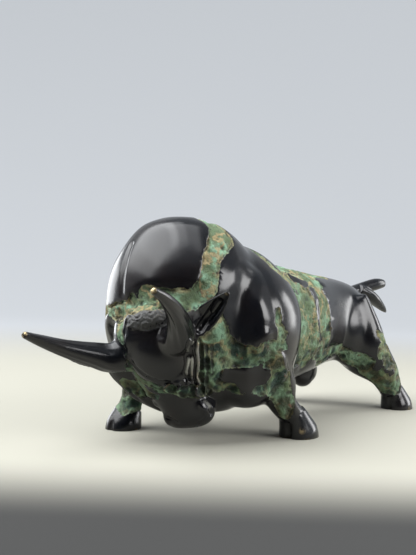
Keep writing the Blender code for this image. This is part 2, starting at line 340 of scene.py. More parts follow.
@dataclass
class Trunk:
    """Chest, neck, hump, shoulders, barrel and rump, with the hollows between their muscles."""

    neck: Path = (
        (16, -90, 2, 18, 17), (24, -94, 3, 32, 30), (44, -103, 5, 44, 42),
        (64, -107, 5.5, 49, 47.5), (84, -108, 5, 49.5, 48.5), (104, -108, 4.5, 46.5, 45.5),
        (121, -110, 4, 37, 35.5), (132, -114, 3, 25, 24), (137.4, -117, 1, 10, 10),
    )
    shoulder: Path = (
        (26, -84, 22, 22, 18), (44, -84, 24, 33, 30), (64, -85, 22, 38, 38), (84, -85, 20, 38, 39),
        (102, -83, 14, 33, 34), (116, -81, 7, 24, 24), (123, -80, 2, 12, 12),
    )
    barrel: Path = (
        (-84, 38, 24, 112), (-50, 41, 22, 113), (-20, 40, 26, 111.5), (12, 36, 30, 108.5),
        (44, 32, 35, 105.5), (74, 33, 38, 102.5), (96, 28.5, 44, 98.5), (112, 18, 56, 94),
        (120, 8, 72, 90),
    )
    throat: Path = (
        (-112, 4, 88, 38, 32), (-126, 2, 76, 31, 27), (-137, -1, 66, 22, 21),
        (-144, -3, 60, 16, 16),
    )
    hollows: tuple[Stroke, ...] = (
        Stroke(11, 1.2, ((-120, -33, 114), (-134, -35, 97), (-139, -36, 78))),
        Stroke(16, 1.3, ((-121, -42, 84), (-117, -45, 68))),
        Stroke(10, -1.5, ((-104, -42, 104), (-108, -48, 89), (-107, -51, 76), (-105, -53, 62))),
        Stroke(8, -1.7, ((-107, -52, 66), (-104, -54, 57))),
        Stroke(5.5, -1.8, ((-95, -55, 56), (-89, -56, 50), (-83, -55, 42))),
        Stroke(5, 1.4, ((-10, -37, 84), (-10, -39, 75), (-5, -38, 67), (6, -36, 60))),
        Stroke(8, 0.5, ((-101, -54, 92), (-101, -57, 74), (-95, -58, 58))),
        Stroke(10, 2.0, ((-104, -56, 60), (-103, -52, 46), (-99, -48, 36))),
        Stroke(11, 1.6, ((-34, -26, 98), (-26, -38, 80), (-24, -40, 62), (-20, -36, 44))),
    )
    neck_hollows: tuple[Stroke, ...] = (
        Stroke(
            9,
            1.6,
            (
                (-139, -33, 90), (-150, -24, 92), (-158, -6, 90), (-158, 12, 82), (-156, 24, 72),
                (-148, 32, 58),
            ),
        ),
        Stroke(3, 1.0, ((-145, 18, 119), (-151, 17, 109), (-154, 16, 98), (-156, 15, 90))),
        Stroke(6, 1.4, ((-128, -34, 52), (-112, -43, 51), (-100, -50, 48))),
    )

    def masses(self) -> list[Mesh]:
        """The lofts of the trunk.

        Returns:
            The meshes.
        """
        ribs = [(x, 0, (low + top) / 2, half, (top - low) / 2) for x, half, low, top in self.barrel]
        brisket = [ball((-88, -30, 38), (24, 20, 18)), ball((-86, 27, 40), (24, 20, 17))]
        shoulders = [upright(self.shoulder, side) for side in Side]
        return [upright(self.neck), limb(ribs, square=2.3), limb(self.throat)] + shoulders + brisket

    def strokes(self) -> list[Stroke]:
        """The hollows of both sides and of the neck."""
        mirrored = [stroke.mirrored() for stroke in self.hollows]
        return list(self.hollows) + mirrored + list(self.neck_hollows)


@dataclass
class Leg:
    """One leg: its joint, its foot and the side that it is on."""

    side: Side
    joint: Numbers
    foot: Numbers
    hoof_radius: float = 11.8
    cleft: float = 1.6
    sole_sink: float = 4.0
    flare: Path = ((16, 0.72, 0.72, 0.0), (10, 0.86, 0.90, 0.3), (4, 1.0, 1.1, 1.0), (0, 1.0, 1.15, 1.5))

    def hoof(self) -> Mesh:
        """A foot that widens to the ground, longer towards the toe.

        Returns:
            The mesh.
        """
        (x, y), (joint_x, joint_y, joint_z) = self.foot, self.joint
        radius = self.hoof_radius
        stations = []
        for height, wide, long, toe in self.flare:
            lean = 0.8 * height / joint_z
            place = (x - toe + (joint_x - x) * lean, y + (joint_y - y) * lean, height)
            stations.append(place + (radius * wide, radius * long))
        stations.append((x - 1.5, y, -self.sole_sink, radius, radius * 1.15))
        return limb(stations, up=(1, 0, 0), square=2.2)

    def hoof_strokes(self) -> list[Stroke]:
        """The split between the toes, and the band above the hoof.

        Returns:
            The strokes.
        """
        x, y = self.foot
        toe = x - 1.5 - self.hoof_radius * 1.2
        split = Stroke(3.0, self.cleft, ((toe + 3, y, 13), (toe, y, 8), (toe - 1, y, 0)))
        heel = x + self.hoof_radius
        return [split, Stroke(2.2, 0.8, ((heel, y, 10), (heel + 1, y, 0)))]


@dataclass
class Foreleg(Leg):
    """A foreleg from the elbow down."""

    def masses(self) -> list[Mesh]:
        """The loft of the leg.

        Returns:
            The meshes.
        """
        (kx, ky, kz), (x, y), side = self.joint, self.foot, self.side.value
        stations = [
            (-82, 38 * side, 62, 22, 20),
            (-80, 40 * side, 46, 17, 16),
            (kx, ky, kz + 6, 10.5, 9.8),
            (kx, ky, kz - 3, 9.5, 9.0),
            (x * 0.7 + kx * 0.3, y * 0.7 + ky * 0.3, 12, 8.2, 8.2),
            (x, y, 4, 9, 9.5),
        ]
        return [limb(stations, up=(1, 0, 0))]


@dataclass
class HindLeg(Leg):
    """Thigh, hock and cannon, stretched out behind the bull."""

    def masses(self) -> list[Mesh]:
        """The thigh's round and the loft of the leg.

        Returns:
            The meshes.
        """
        (hx, hy, hz), (x, y), side = self.joint, self.foot, self.side.value
        stations = [
            (70, 14 * side, 84, 24, 10),
            (74, 23 * side, 62, 24, 15),
            (78, 31.5 * side, 46, 21, 16),
            (hx, hy, hz, 13, 12.5),
            (x * 0.55 + hx * 0.45, y * 0.55 + hy * 0.45, 15, 9, 9.5),
            (x, y, 4, 9, 9.5),
        ]
        return [ball((72, 24.5 * side, 63), (26.5, 15.5, 30), (0, 18, 0)), limb(stations, up=(1, 0, 0))]


@dataclass
class Tail:
    """A tail flung up off the rump, its tuft falling to the left, and the belly's sheath."""

    radius: float = 5.2
    sheath_radius: float = 8.5

    def masses(self) -> list[Mesh]:
        """The two lobes of the tail and the two rounds of the sheath.

        Returns:
            The meshes.
        """
        thick, full = self.radius, self.sheath_radius
        upper = [
            (112, 0, 88, 8, 8),
            (128, -3, 94.5, thick, thick),
            (146, -9, 99, thick, thick),
            (156, -12, 100, thick * 0.7, thick * 0.7),
        ]
        tuft = [
            (122, -5, 94, thick, thick),
            (136, -10, 88, thick * 1.3, thick),
            (151, -14, 79, thick * 0.6, thick * 0.6),
            (157, -15, 75, 1, 1),
        ]
        sheath = [
            ball((40, 0, 32.5), (full * 1.7, full, full * 1.35), (0, 20, 0)),
            ball((38, 0, 27.8), (full * 1.3, full * 0.88, full * 1.08)),
        ]
        return [limb(upper), limb(tuft)] + sheath


@dataclass
class Head:
    """The head, tucked in, turned to the bull's left and tilted so that its left horn is the higher.

    Places on it are in its own axes: out of the face, to its left, and up, from the brow.
    """

    brow: Numbers = (-158.3, -5.4, 56.6)
    turn: float = 24.0
    tuck: float = 24.0
    tilt: float = 21.0
    horn_root: float = 8.8
    horn_tip: float = 1.9
    horn_stations: int = 120
    ear_half_width: float = 7.2
    ear_thickness: float = 5.6
    ear_dish: float = 1.25
    ear_droop: float = 0.18
    slimness: float = 0.93
    ruff_right: float = 9.0
    ruff_left: float = 6.0
    eye_radius: float = 3.4
    nostril_radius: float = 3.4
    skull: Path = (
        (-22, 0, 16, 17, 14), (-20, 0, 6, 21, 20), (-19, 0, -8, 21, 19), (-18, 0, -22, 18.5, 17.5),
        (-17, 1, -36, 16.0, 14.5), (-15.5, 2.5, -46, 15, 12.8), (-14.5, 3.3, -51.5, 15.8, 12.2),
        (-14.5, 3.5, -54.5, 14.6, 10.8), (-15, 3.2, -56.5, 11, 7.5),
    )
    horn_course: Path = (
        (-12, 10, -2, 1.4), (-4.3, 21.8, 1.3, 1.1), (2.8, 28.7, 9.8, 0.84),
        (14.2, 35.3, 22.5, 0.58), (26.1, 38.9, 35.4, 0.4), (36.5, 39.5, 45.4, 0.0),
    )
    ear_course: Path = (
        (-15, 18, -4, 0.5, 1.6), (-15, 26, -2, 0.8, 1.1), (-15, 37, 3, 1.0, 1.0),
        (-15, 48, 8.5, 0.7, 0.9), (-15.5, 56.7, 13.3, 0.15, 0.6),
    )
    ruff_course: Path = (
        (-17, 15, 2, 0.9), (-18, 18, -10, 1.0), (-18, 16, -20, 0.92), (-17.5, 13.5, -29, 0.82),
        (-17, 9, -38, 0.62), (-17, 5, -46, 0.35),
    )
    dome_edge: Path = (
        (-8, 1, 23), (-4, -6, 17), (-2, -10, 9), (0, -11, 1), (1, -9, -6), (2, -5, -13),
        (1, 0, -19), (-1, 6, -24), (-4, 12, -28),
    )
    lids: tuple[tuple[Numbers, Numbers], ...] = (
        ((-2, 5.5, -26.5), (4, 4.6, 2.6)),
        ((-9.5, 17.5, -36.5), (4, 2.8, 3.4)),
    )
    jaw: Path = ((-23, 23, 10), (-25, 23, -8), (-27, 20, -26), (-27, 16, -44))
    ear_bowl: Path = ((-11.5, 33, -1.0), (-14.5, 37, 1.6), (-15.5, 43, 5.4), (-15.5, 49, 9.6))
    nostril_hole: Path = ((-8, 18.5, -51), (-9, 18, -54))
    nostril_crease: Path = ((-5, -9, -46), (-4, -6, -48), (-3, -3, -50.5))
    nostril_wing: Path = ((-9, 18, -45, 2.0), (-9, 18.5, -49, 2.0))
    dome_line_steps: Numbers = (3.0, 5.2, 7.6)
    mouth: Path = (
        (-4, 14, -53.5), (-2, 8, -54.5), (-1.5, 2.5, -55), (-2, -4, -54.5), (-5, -10, -53.5),
    )
    cheek_hair: Path = ((-14, -33, -8, 6), (-14, -32, -20, 6), (-14, -24, -31, 6))
    topknot: Path = ((-5, -1, 20, 6), (-5, 7, 17, 7.5), (-9, 17, 15, 7))
    curls: Path = (
        (-3, 2, 16), (-3, 8, 14), (-6, 15, 12), (-6, 4, 21), (-8, 11, 20), (-11, 18, 18),
        (-5, -3, 20),
    )
    curl_spacing: float = 2.4
    nose_band: Path = (
        (-3, 6, -31, 2.5), (-4, 9, -34, 4), (-6, 13, -36, 4.5), (-9, 17, -39, 4.5),
        (-12, 18, -42, 3.5),
    )
    ash_knot: Path = ((-5, 0, 20, 5), (-5, 8, 17, 7), (-9, 17, 15, 7))
    ash_behind: Path = ((-14, 31, 13, 4), (-14, 33, 9, 4))
    # How many hair strands carry worn metal and painted highlight.
    bright_strands: int = 3
    strands: tuple[Path, ...] = (
        ((3, 31, 0, 1.2), (0, 26, -6, 1.3), (-6, 21, -15, 1.3), (-6, 16, -22, 1.2), (-5, 15, -28, 0.8)),
        ((-3, 30, -4, 1.0), (-5, 25, -11, 1.2), (-7, 22, -17, 1.2), (-7, 18, -24, 1.2), (-7, 16, -31, 0.8)),
        ((-9, 29, -8, 1.2), (-8, 27, -12, 1.3), (-8, 24, -21, 1.3), (-8, 20, -28, 1.2), (-10, 18, -34, 0.8)),
        ((-10, 31, -12, 1.0), (-9, 28, -20, 1.2), (-9, 25, -27, 1.2), (-11, 21, -34, 0.9)),
        ((-13, 33, -14, 1.0), (-12, 30, -22, 1.2), (-12, 27, -30, 1.0)),
    )
    axes: Matrix = field(init=False)

    def __post_init__(self) -> None:
        """Works out the head's axes in the bull's frame, as columns."""
        turned = Euler((0, 0, math.radians(self.turn))).to_matrix()
        tucked = Euler((0, math.radians(-self.tuck), 0)).to_matrix()
        tilted = Euler((math.radians(-self.tilt), 0, 0)).to_matrix()
        self.axes = turned @ tucked @ tilted @ Matrix(((-1, 0, 0), (0, -1, 0), (0, 0, 1)))

    def at(self, out: float, left: float, up: float) -> Vector:
        """A place on the head, in the bull's shares."""
        return Vector(self.brow) + self.axes @ Vector((out, left, up))

    def placed(self, path: Path) -> Path:
        """A path in the head's axes, with whatever follows the place, in the bull's shares."""
        return tuple(tuple(self.at(*row[:3])) + tuple(row[3:]) for row in path)

    def own(self, points: np.ndarray) -> np.ndarray:
        """Points of the bull in the head's axes."""
        return (points - np.array(self.brow)) @ np.array(self.axes)

    def round(self, place: Numbers, radii: Numbers, turn: Numbers = (0, 0, 0)) -> Mesh:
        """A ball turned with the head, its radii out of, across and up the face.

        Args:
            place: the middle, in the head's own directions.
            radii: the half sizes.
            turn: degrees about the head's axes.

        Returns:
            The mesh.
        """
        mesh = ball((0, 0, 0), radii, turn)
        mesh.transform(Matrix.Translation(self.at(*place) * SHARE) @ self.axes.to_4x4())
        return mesh

    def horn(self, side: Side) -> Path:
        """The horn's centreline and radius, in the bull's shares.

        Args:
            side: which side of the bull.

        Returns:
            The rounds from root to tip.
        """
        slim = self.slimness if side is Side.RIGHT else 1.0
        radii = [self.horn_root * share * slim for *_, share in self.horn_course[:-1]] + [self.horn_tip]
        radii[0] = self.horn_root * self.horn_course[0][3]
        course = zip(self.horn_course, radii)
        return self.placed(tuple((out, -left * side.value, up, r) for (out, left, up, _), r in course))

    def ear(self, side: Side) -> Mesh:
        """A leaf-shaped ear behind the horn, its open face dished. The right one droops.

        Args:
            side: which side of the bull.

        Returns:
            The mesh.
        """
        wide, thick = self.ear_half_width, self.ear_thickness / 2
        droop = self.ear_droop if side is Side.RIGHT else 0.0
        stations = [
            (out, -left * side.value, up - droop * (left - 18), wide * w, thick * t)
            for out, left, up, w, t in self.ear_course
        ]
        out = tuple(self.axes @ Vector((1, 0, 0)))
        return limb(self.placed(tuple(stations)), up=out, square=2.6, dish=self.ear_dish)

    def nostril(self, side: Side) -> Mesh:
        """The flared wing of a nostril at the corner of the muzzle.

        Args:
            side: which side of the bull.

        Returns:
            The mesh.
        """
        radius, left = self.nostril_radius, -side.value
        radii = (radius * 1.5, radius * 0.8, radius * 1.9)
        return self.round((-9.5, 3 + 12.5 * left, -48.5), radii, (10 * left, 25, 0))

    def ruff(self, side: Side) -> Mesh:
        """The long hair of the cheek, fuller on the right where the head turns away from the neck.

        Args:
            side: which side of the bull.

        Returns:
            The mesh.
        """
        full = self.ruff_right if side is Side.RIGHT else self.ruff_left
        stations = [
            (out, -(left + full * 0.9) * side.value, up, full * share, full * share)
            for out, left, up, share in self.ruff_course
        ]
        return limb(self.placed(tuple(stations)), up=tuple(self.axes @ Vector((1, 0, 0))))

    def masses(self) -> list[Mesh]:
        """Skull, forehead, topknot, eyes, brows, horns, ears, nostrils and cheek hair.

        Returns:
            The meshes.
        """
        out = tuple(self.axes @ Vector((1, 0, 0)))
        made = [
            limb(self.placed(self.skull), up=out, square=2.4),
            self.round((-9, 3, -7), (12.5, 18.5, 20)),
            self.round((-11, 5, 15), (9, 14, 8)),
        ]
        eye = self.eye_radius
        for side in Side:
            left = -side.value
            made.append(self.round((-9.5, 2 + 13.0 * left, -36.0), (eye, eye, eye * 1.3)))
            made.append(self.round((-8, 1 + 10.5 * left, -28), (4.5, 6, 3), (-18 * left, 0, 0)))
            made += [self.horn_mass(side), self.ear(side), self.nostril(side), self.ruff(side)]
        return made

    def horn_mass(self, side: Side) -> Mesh:
        """The horn's loft."""
        stations = [row + (row[3],) for row in self.horn(side)]
        return limb(stations, up=tuple(self.axes @ Vector((0, 0, 1))))

    def strokes(self) -> list[Stroke]:
        """The ears' open faces, and the grooves of jaw, nostril, forehead and mouth.

        Returns:
            The strokes.
        """
        made = []
        for side in Side:
            left = -side.value
            jaw = tuple((out, hand * left, up) for out, hand, up in self.jaw)
            made.append(Stroke(7.0, 2.4, self.placed(jaw)))
            droop = self.ear_droop if side is Side.RIGHT else 0.0
            face = tuple((out, hand * left, up - droop * (hand - 18)) for out, hand, up in self.ear_bowl)
            made.append(Stroke(3.0, 2.2, self.placed(face), 0.8))
        made.append(Stroke(2.6, 1.3, self.placed(self.nostril_hole)))
        made.append(Stroke(1.8, 1.0, self.placed(self.nostril_crease)))
        made.append(Stroke(1.8, 0.9, self.placed(self.dome_edge)))
        crown = self.dome_edge[3:8]
        for step in self.dome_line_steps:
            line = tuple((out - step * 0.35, left - step, up - step * 0.8) for out, left, up in crown)
            made.append(Stroke(1.1, 0.6, self.placed(line)))
        made.append(Stroke(1.4, 0.9, self.placed(self.mouth)))
        return made

    def locks(self, points: np.ndarray) -> np.ndarray:
        """How far the hair stands out.

        Args:
            points: the casting's points, in shares.

        Returns:
            The height of the hair at each point, in shares.
        """
        place = self.own(points)
        height = np.zeros(len(points))
        for strand in self.strands:
            depth = inside_rounds(place, strand)
            height += 1.3 * soft_step((depth + 0.4) / 1.5) - 0.7 * soft_step((depth + 2.0) / 1.2)
        cheek = soft_step(inside_rounds(place, self.cheek_hair) / 3.0)
        across = place[:, 0] + 0.35 * place[:, 1] + 0.5 * np.sin(place[:, 2] / 4.0)
        height += cheek * 0.4 * np.cos(across * 2.0 * math.pi / 2.6)
        top = soft_step(inside_rounds(place, self.topknot) / 2.0)
        curls = np.array(self.curls, float)
        gaps = np.stack([np.linalg.norm(place - curl, axis=1) for curl in curls])
        middle = curls[gaps.argmin(axis=0)]
        angle = np.arctan2(place[:, 1] - middle[:, 1], place[:, 2] - middle[:, 2])
        height += top * 0.26 * np.cos(gaps.min(axis=0) * 2.0 * math.pi / self.curl_spacing + angle)
        return height

    def band(self, points: np.ndarray, grain: Grain) -> np.ndarray:
        """How far the rough band across the nose stands out, and the rings round the eyes.

        Args:
            points: the casting's points, in shares.
            grain: the noise that breaks it up.

        Returns:
            The height at each point, in shares.
        """
        place = self.own(points)
        cover = soft_step(inside_rounds(place, self.nose_band) / 1.6)
        flames = 1.0 - 2.0 * np.abs(grain.at(place * (1.0, 1.0, 0.6), 2.6))
        height = cover * (0.35 + 0.55 * flames)
        for middle, size in self.lids:
            gap = np.linalg.norm((place - np.array(middle, float)) / np.array(size, float), axis=1)
            height += 1.7 * np.exp(-(((gap - 1.0) / 0.28) ** 2)) - 1.3 * np.exp(-((gap / 0.6) ** 2))
        return height

    def ashen(self, points: np.ndarray) -> np.ndarray:
        """Where the head's hair is matt and grey, from 0 to 1.

        Args:
            points: points in shares, one to a row.

        Returns:
            One number for each point.
        """
        place = self.own(points)
        knot = inside_rounds(place, self.ash_knot)
        behind = inside_rounds(place, self.ash_behind)
        return soft_step(np.maximum(knot, behind) / 1.2)

    def bare_and_highlit(self, points: np.ndarray) -> np.ndarray:
        """Where the hair strands and the nostril's wing are worn to bright metal, partly as painted
        highlight, from 0 to 1.

        Args:
            points: points in shares, one to a row.

        Returns:
            One number for each point.
        """
        place = self.own(points)
        strands = self.strands[: self.bright_strands]
        depth = np.max([inside_rounds(place, strand) for strand in strands], axis=0)
        wing = soft_step(inside_rounds(place, self.nostril_wing) / 1.5)
        return np.maximum(soft_step(depth / 0.9), 0.6 * wing)

    def flutes(self, points: np.ndarray) -> np.ndarray:
        """How far the ribs along the horns stand out.

        Args:
            points: the casting's points, in shares.

        Returns:
            The height at each point, in shares.
        """
        height = np.zeros(len(points))
        for side in Side:
            course = np.array(smooth_rows(self.horn(side))[3:])
            steps = np.linspace(0.0, len(course) - 1.0, self.horn_stations)
            places = np.arange(len(course))
            line = np.stack([np.interp(steps, places, course[:, k]) for k in range(4)], axis=1)
            rounds = tuple(map(tuple, line + (0, 0, 0, 1.5)))
            near = np.flatnonzero(inside_rounds(points, rounds) > 0.0)
            gaps = np.linalg.norm(points[near, None, :] - line[None, :, :3], axis=2)
            station = gaps.argmin(axis=1)
            ahead = np.gradient(line[:, :3], axis=0)[station]
            ahead /= np.linalg.norm(ahead, axis=1)[:, None]
            arm = points[near] - line[station, :3]
            east = np.cross(ahead, np.array(self.axes)[:, 2])
            east /= np.linalg.norm(east, axis=1)[:, None]
            north = np.cross(ahead, east)
            angle = np.arctan2((arm * north).sum(axis=1), (arm * east).sum(axis=1))
            share = station / (len(line) - 1.0)
            fade = np.clip(share * 6.0, 0.0, 1.0) * np.clip((1.0 - share) * 2.0, 0.0, 1.0)
            flutes = 0.36 * np.cos(4.0 * angle + 0.6) + 0.13 * np.cos(11.0 * angle + share * 3.0)
            height[near] += fade * flutes
        return height


# Where the patina lies


@dataclass(frozen=True)
class Patch:
    """A run of rounds that has one finish: x, y, z and radius of each, in shares."""

    skin: Skin
    rounds: Path

    def mirrored(self) -> "Patch":
        """The same on the other side of the bull."""
        return Patch(self.skin, tuple((x, -y, z, r) for x, y, z, r in self.rounds))


def green(*rounds: Numbers) -> Patch:
    """A channel of patina through the given rounds."""
    return Patch(Skin.PATINA, rounds)


def dark(*rounds: Numbers) -> Patch:
    """An island of polish through the given rounds."""
    return Patch(Skin.POLISH, rounds)


@dataclass
class PatinaMap:
    """The layout of patina and polish, laid down in order."""

    head: Head
    warp: float = 2.2
    warp_size: float = 11.0
    fray: float = 0.9
    fray_size: float = 3.4
    widest: float = 8.0
    both_sides: tuple[Patch, ...] = (
        green(
            (-104, 0, 137, 8), (-112, -14, 134, 9), (-114, -25, 127, 9), (-123, -29, 120, 7.5),
            (-130, -31, 114, 6), (-133, -32, 106, 6), (-137, -33, 98, 7), (-141, -31, 90, 7),
        ),
        green(
            (-141, -36, 84, 8), (-133, -38, 76, 7), (-127, -37, 66, 8), (-121, -38, 58, 8),
            (-113, -43, 57, 6),
        ),
        green((-113, -43, 57, 6), (-106, -50, 58, 5), (-100, -54, 61, 6), (-94, -56, 62, 5)),
        green((-95, -57, 84, 1.2), (-96, -58, 76, 2.5), (-94, -58, 68, 4), (-92, -57, 62, 5)),
        green((-78, -24, 118, 2), (-78, -40, 109, 3), (-74, -46, 103, 3.5), (-60, -42, 100, 6)),
        green(
            (-58, -38, 100, 8), (-46, -40, 92, 10), (-40, -40, 80, 11), (-38, -41, 66, 12),
            (-38, -40, 52, 12),
        ),
        green((-26, -36, 92, 9), (-20, -38, 76, 10), (-18, -38, 60, 10), (-20, -36, 48, 10)),
        green((0, -32, 90, 8), (3, -35, 72, 9), (6, -34, 60, 9)),
        green(
            (-52, -24, 112, 8), (-25, -15, 109, 9), (0, -12, 107, 9), (25, -10, 105, 8),
            (44, -8, 103, 6),
        ),
        green((-56, -38, 104, 8), (-36, -33, 103, 8), (-12, -29, 102, 8), (8, -25, 101, 7)),
        green(
            (-3, -36, 50, 8), (14, -30, 46, 9), (31, -28, 46, 8), (45, -30, 45, 7),
            (57, -30, 42, 7),
        ),
        dark((-29, -27, 101, 3.5), (-22, -30, 98, 3.8), (-14, -29, 97, 3.2)),
        dark((28, -25, 90, 8), (40, -28, 80, 10), (50, -34, 66, 12), (59, -36, 58, 9)),
        dark((34, -30, 72, 10), (44, -32, 64, 8)),
        dark((10, -24, 33, 4), (30, -22, 36, 5), (50, -20, 37, 5)),
    )
    left_side: tuple[Patch, ...] = (
        green(
            (-141, -31, 89, 7), (-147, -22, 88, 6.5), (-154, -10, 86, 6), (-157, 0, 82, 6.5),
            (-157, 9, 79.5, 6),
        ),
        green((-157, 9, 81, 6), (-154, 20, 79, 5), (-149, 31, 79, 4), (-138, 40, 76, 4)),
        green((-129, -36, 66, 8), (-128, -33, 52, 8), (-122, -31, 42, 6), (-118, -29, 36, 5)),
        green((-118, -40, 54, 7), (-106, -46, 54, 6)),
        green(
            (-124, -27, 37, 4), (-115, -31, 36, 4), (-107, -37, 35, 4), (-98, -42, 33, 4.5),
            (-84, -50, 34, 5),
        ),
        green(
            (-100, -53, 56, 6), (-96, -53, 50, 6), (-92, -52, 43, 6.5), (-84, -52, 36, 8),
            (-78, -52, 31, 6),
        ),
        green((-79, -50, 31, 8), (-77, -51, 24, 8), (-74, -50, 16, 6)),
        green(
            (57, -30, 42, 7), (66, -36, 38, 8), (76, -42, 30, 9), (84, -46, 22, 9),
            (92, -52, 20, 8),
        ),
        green(
            (71, -48, 60, 3.5), (80, -47, 54, 6), (76, -48, 47, 7), (84, -48, 38, 7),
            (92, -52, 26, 7),
        ),
        dark((-115, -33, 43, 4.5), (-106, -42, 42, 5.5), (-98, -48, 42, 5)),
        dark((-116, -22, 26, 6), (-106, -30, 26, 6), (-96, -36, 24, 6.5), (-88, -40, 25, 6)),
        dark((-90, -58, 54, 2.4), (-86, -58, 48, 2.8), (-82, -57, 43, 1.8)),
        dark((-86, -60, 64, 6), (-81, -58, 52, 4.2), (-77, -56, 44, 3)),
        dark((-66, -48, 30, 6), (-60, -50, 20, 8), (-56, -50, 12, 8)),
        dark((73, -47, 37, 4.6),),
        dark((50, -20, 37, 5), (68, -24, 31, 5), (78, -33, 24, 4.5)),
    )
    right_side: tuple[Patch, ...] = (
        green((-108, 46, 22, 13),),
        green((-110, 48, 48, 10), (-96, 54, 44, 9), (-86, 52, 40, 9)),
        green((40, 30, 45, 7), (52, 34, 38, 8), (60, 38, 28, 8), (66, 40, 20, 8)),
        green((-120, 36, 36, 6), (-100, 40, 30, 6)),
        dark((-151, 31, 70, 6.5), (-148, 34, 61, 6)),
        dark((-104, 50, 30, 4),),
        dark((60, 44, 36, 4.2),),
    )
    on_head: tuple[Patch, ...] = (
        green(
            (-17, 1, 27, 4), (-15, -7, 22, 4), (-5, -12, 15, 3.4), (-1, -14, 6, 2.8),
            (0, -14, -3, 2.8),
        ),
        green((0, -14, -3, 2.8), (-1, -13, -11, 3.2), (-2, -10, -18, 3.0), (-1, -4, -23, 2.6)),
        green((-5, -14, -20, 4), (-7, -13, -28, 4), (-6, -7, -31, 3.5)),
        green(
            (-3, -4, -27, 2.5), (-2, 3, -28, 3.5), (-4, 9, -32, 4), (-8, 16, -38, 4.5),
            (-12, 18, -42, 3.5),
        ),
        green((-12, 33, -8, 4), (-11, 30, -16, 4.5), (-11, 26, -26, 4.5), (-13, 22, -36, 4)),
        green((-18, 12, 26, 6), (-18, 22, 20, 6), (-20, 32, 8, 5)),
        green((-10, -26, -18, 3.5), (-10, -23, -23, 4), (-10, -19, -28, 4)),
    )

    def patches(self) -> Iterable[Patch]:
        """All patches in the order that they are laid down.

        Returns:
            The patches, one by one.
        """
        yield from self.both_sides
        yield from (patch.mirrored() for patch in self.both_sides)
        yield from self.left_side
        yield from self.right_side
        for patch in self.on_head:
            yield Patch(patch.skin, self.head.placed(patch.rounds))
        for side in Side:
            horn = tuple(row[:3] + (row[3] + 2.5,) for row in self.head.horn(side)[1:])
            yield Patch(Skin.POLISH, horn)
            course = self.head.ear_course[1:]
            ear = tuple((out, -left * side.value, up, 7.5) for out, left, up, _, _ in course)
            yield Patch(Skin.POLISH, self.head.placed(ear))

    def polish(self, points: np.ndarray) -> np.ndarray:
        """How far points lie inside the polish.

        Args:
            points: the casting's points, in shares.

        Returns:
            The distance of each from the edge of the patina, in shares, negative in the patina.
        """
        coarse = np.stack([Grain(seed).at(points, self.warp_size) for seed in WARP_SEEDS], axis=1)
        fine = np.stack([Grain(seed).at(points, self.fray_size) for seed in FRAY_SEEDS], axis=1)
        place = points + coarse * self.warp + fine * self.fray
        edge = np.full(len(points), self.widest)
        for patch in self.patches():
            depth = inside_rounds(place, patch.rounds)
            edge = np.minimum(edge, -depth) if patch.skin is Skin.PATINA else np.maximum(edge, depth)
        return np.clip(edge, -self.widest, self.widest)


# The casting


@dataclass
class Surface:
    """A mesh read into arrays, in shares, so that its skin can be worked in one go."""

    mesh: Mesh
    points: np.ndarray = field(init=False)
    normals: np.ndarray = field(init=False)

    def __post_init__(self) -> None:
        """Reads the mesh."""
        count = len(self.mesh.vertices)
        points, normals = np.empty(count * 3), np.empty(count * 3)
        self.mesh.vertices.foreach_get("co", points)
        self.mesh.vertex_normals.foreach_get("vector", normals)
        self.points, self.normals = points.reshape(-1, 3) / SHARE, normals.reshape(-1, 3)

    def raised(self, height: np.ndarray) -> "Surface":
        """Moves the skin out along its normals, and reads it again."""
        return self.moved(self.points + self.normals * height[:, None])

    def moved(self, points: np.ndarray) -> "Surface":
        """Gives the mesh new points, and reads it again.

        Args:
            points: the new points in shares.

        Returns:
            The surface, read again.
        """
        self.mesh.vertices.foreach_set("co", (points * SHARE).ravel())
        self.mesh.update()
        return Surface(self.mesh)

    def averages(self, values: np.ndarray) -> np.ndarray:
        """Each vertex's mean of its neighbours.

        Args:
            values: one row for each vertex.

        Returns:
            The means, in rows.
        """
        count = len(values)
        pairs = np.empty(len(self.mesh.edges) * 2, dtype=np.int64)
        self.mesh.edges.foreach_get("vertices", pairs)
        a, b = pairs.reshape(-1, 2).T
        degree = np.maximum(np.bincount(a, minlength=count) + np.bincount(b, minlength=count), 1)
        columns = [
            np.bincount(a, values[b, k], count) + np.bincount(b, values[a, k], count)
            for k in range(values.shape[1])
        ]
        return np.stack(columns, axis=1) / degree[:, None]

    def crests(self, passes: int) -> np.ndarray:
        """How much each vertex stands on an edge or a crest, in shares, negative in a crease.

        Args:
            passes: how many times the numbers are evened out.

        Returns:
            One number for each vertex.
        """
        rise = ((self.points - self.averages(self.points)) * self.normals).sum(axis=1)[:, None]
        for _ in range(passes):
            rise = 0.5 * (rise + self.averages(rise))
        return rise[:, 0]


def settled(made: bpy.types.Object) -> Mesh:
    """Applies an object's modifiers.

    Args:
        made: the object, which is removed.

    Returns:
        The mesh as the modifiers leave it.
    """
    graph = bpy.context.evaluated_depsgraph_get()
    mesh = bpy.data.meshes.new_from_object(made.evaluated_get(graph))
    bpy.data.objects.remove(made)
    return mesh


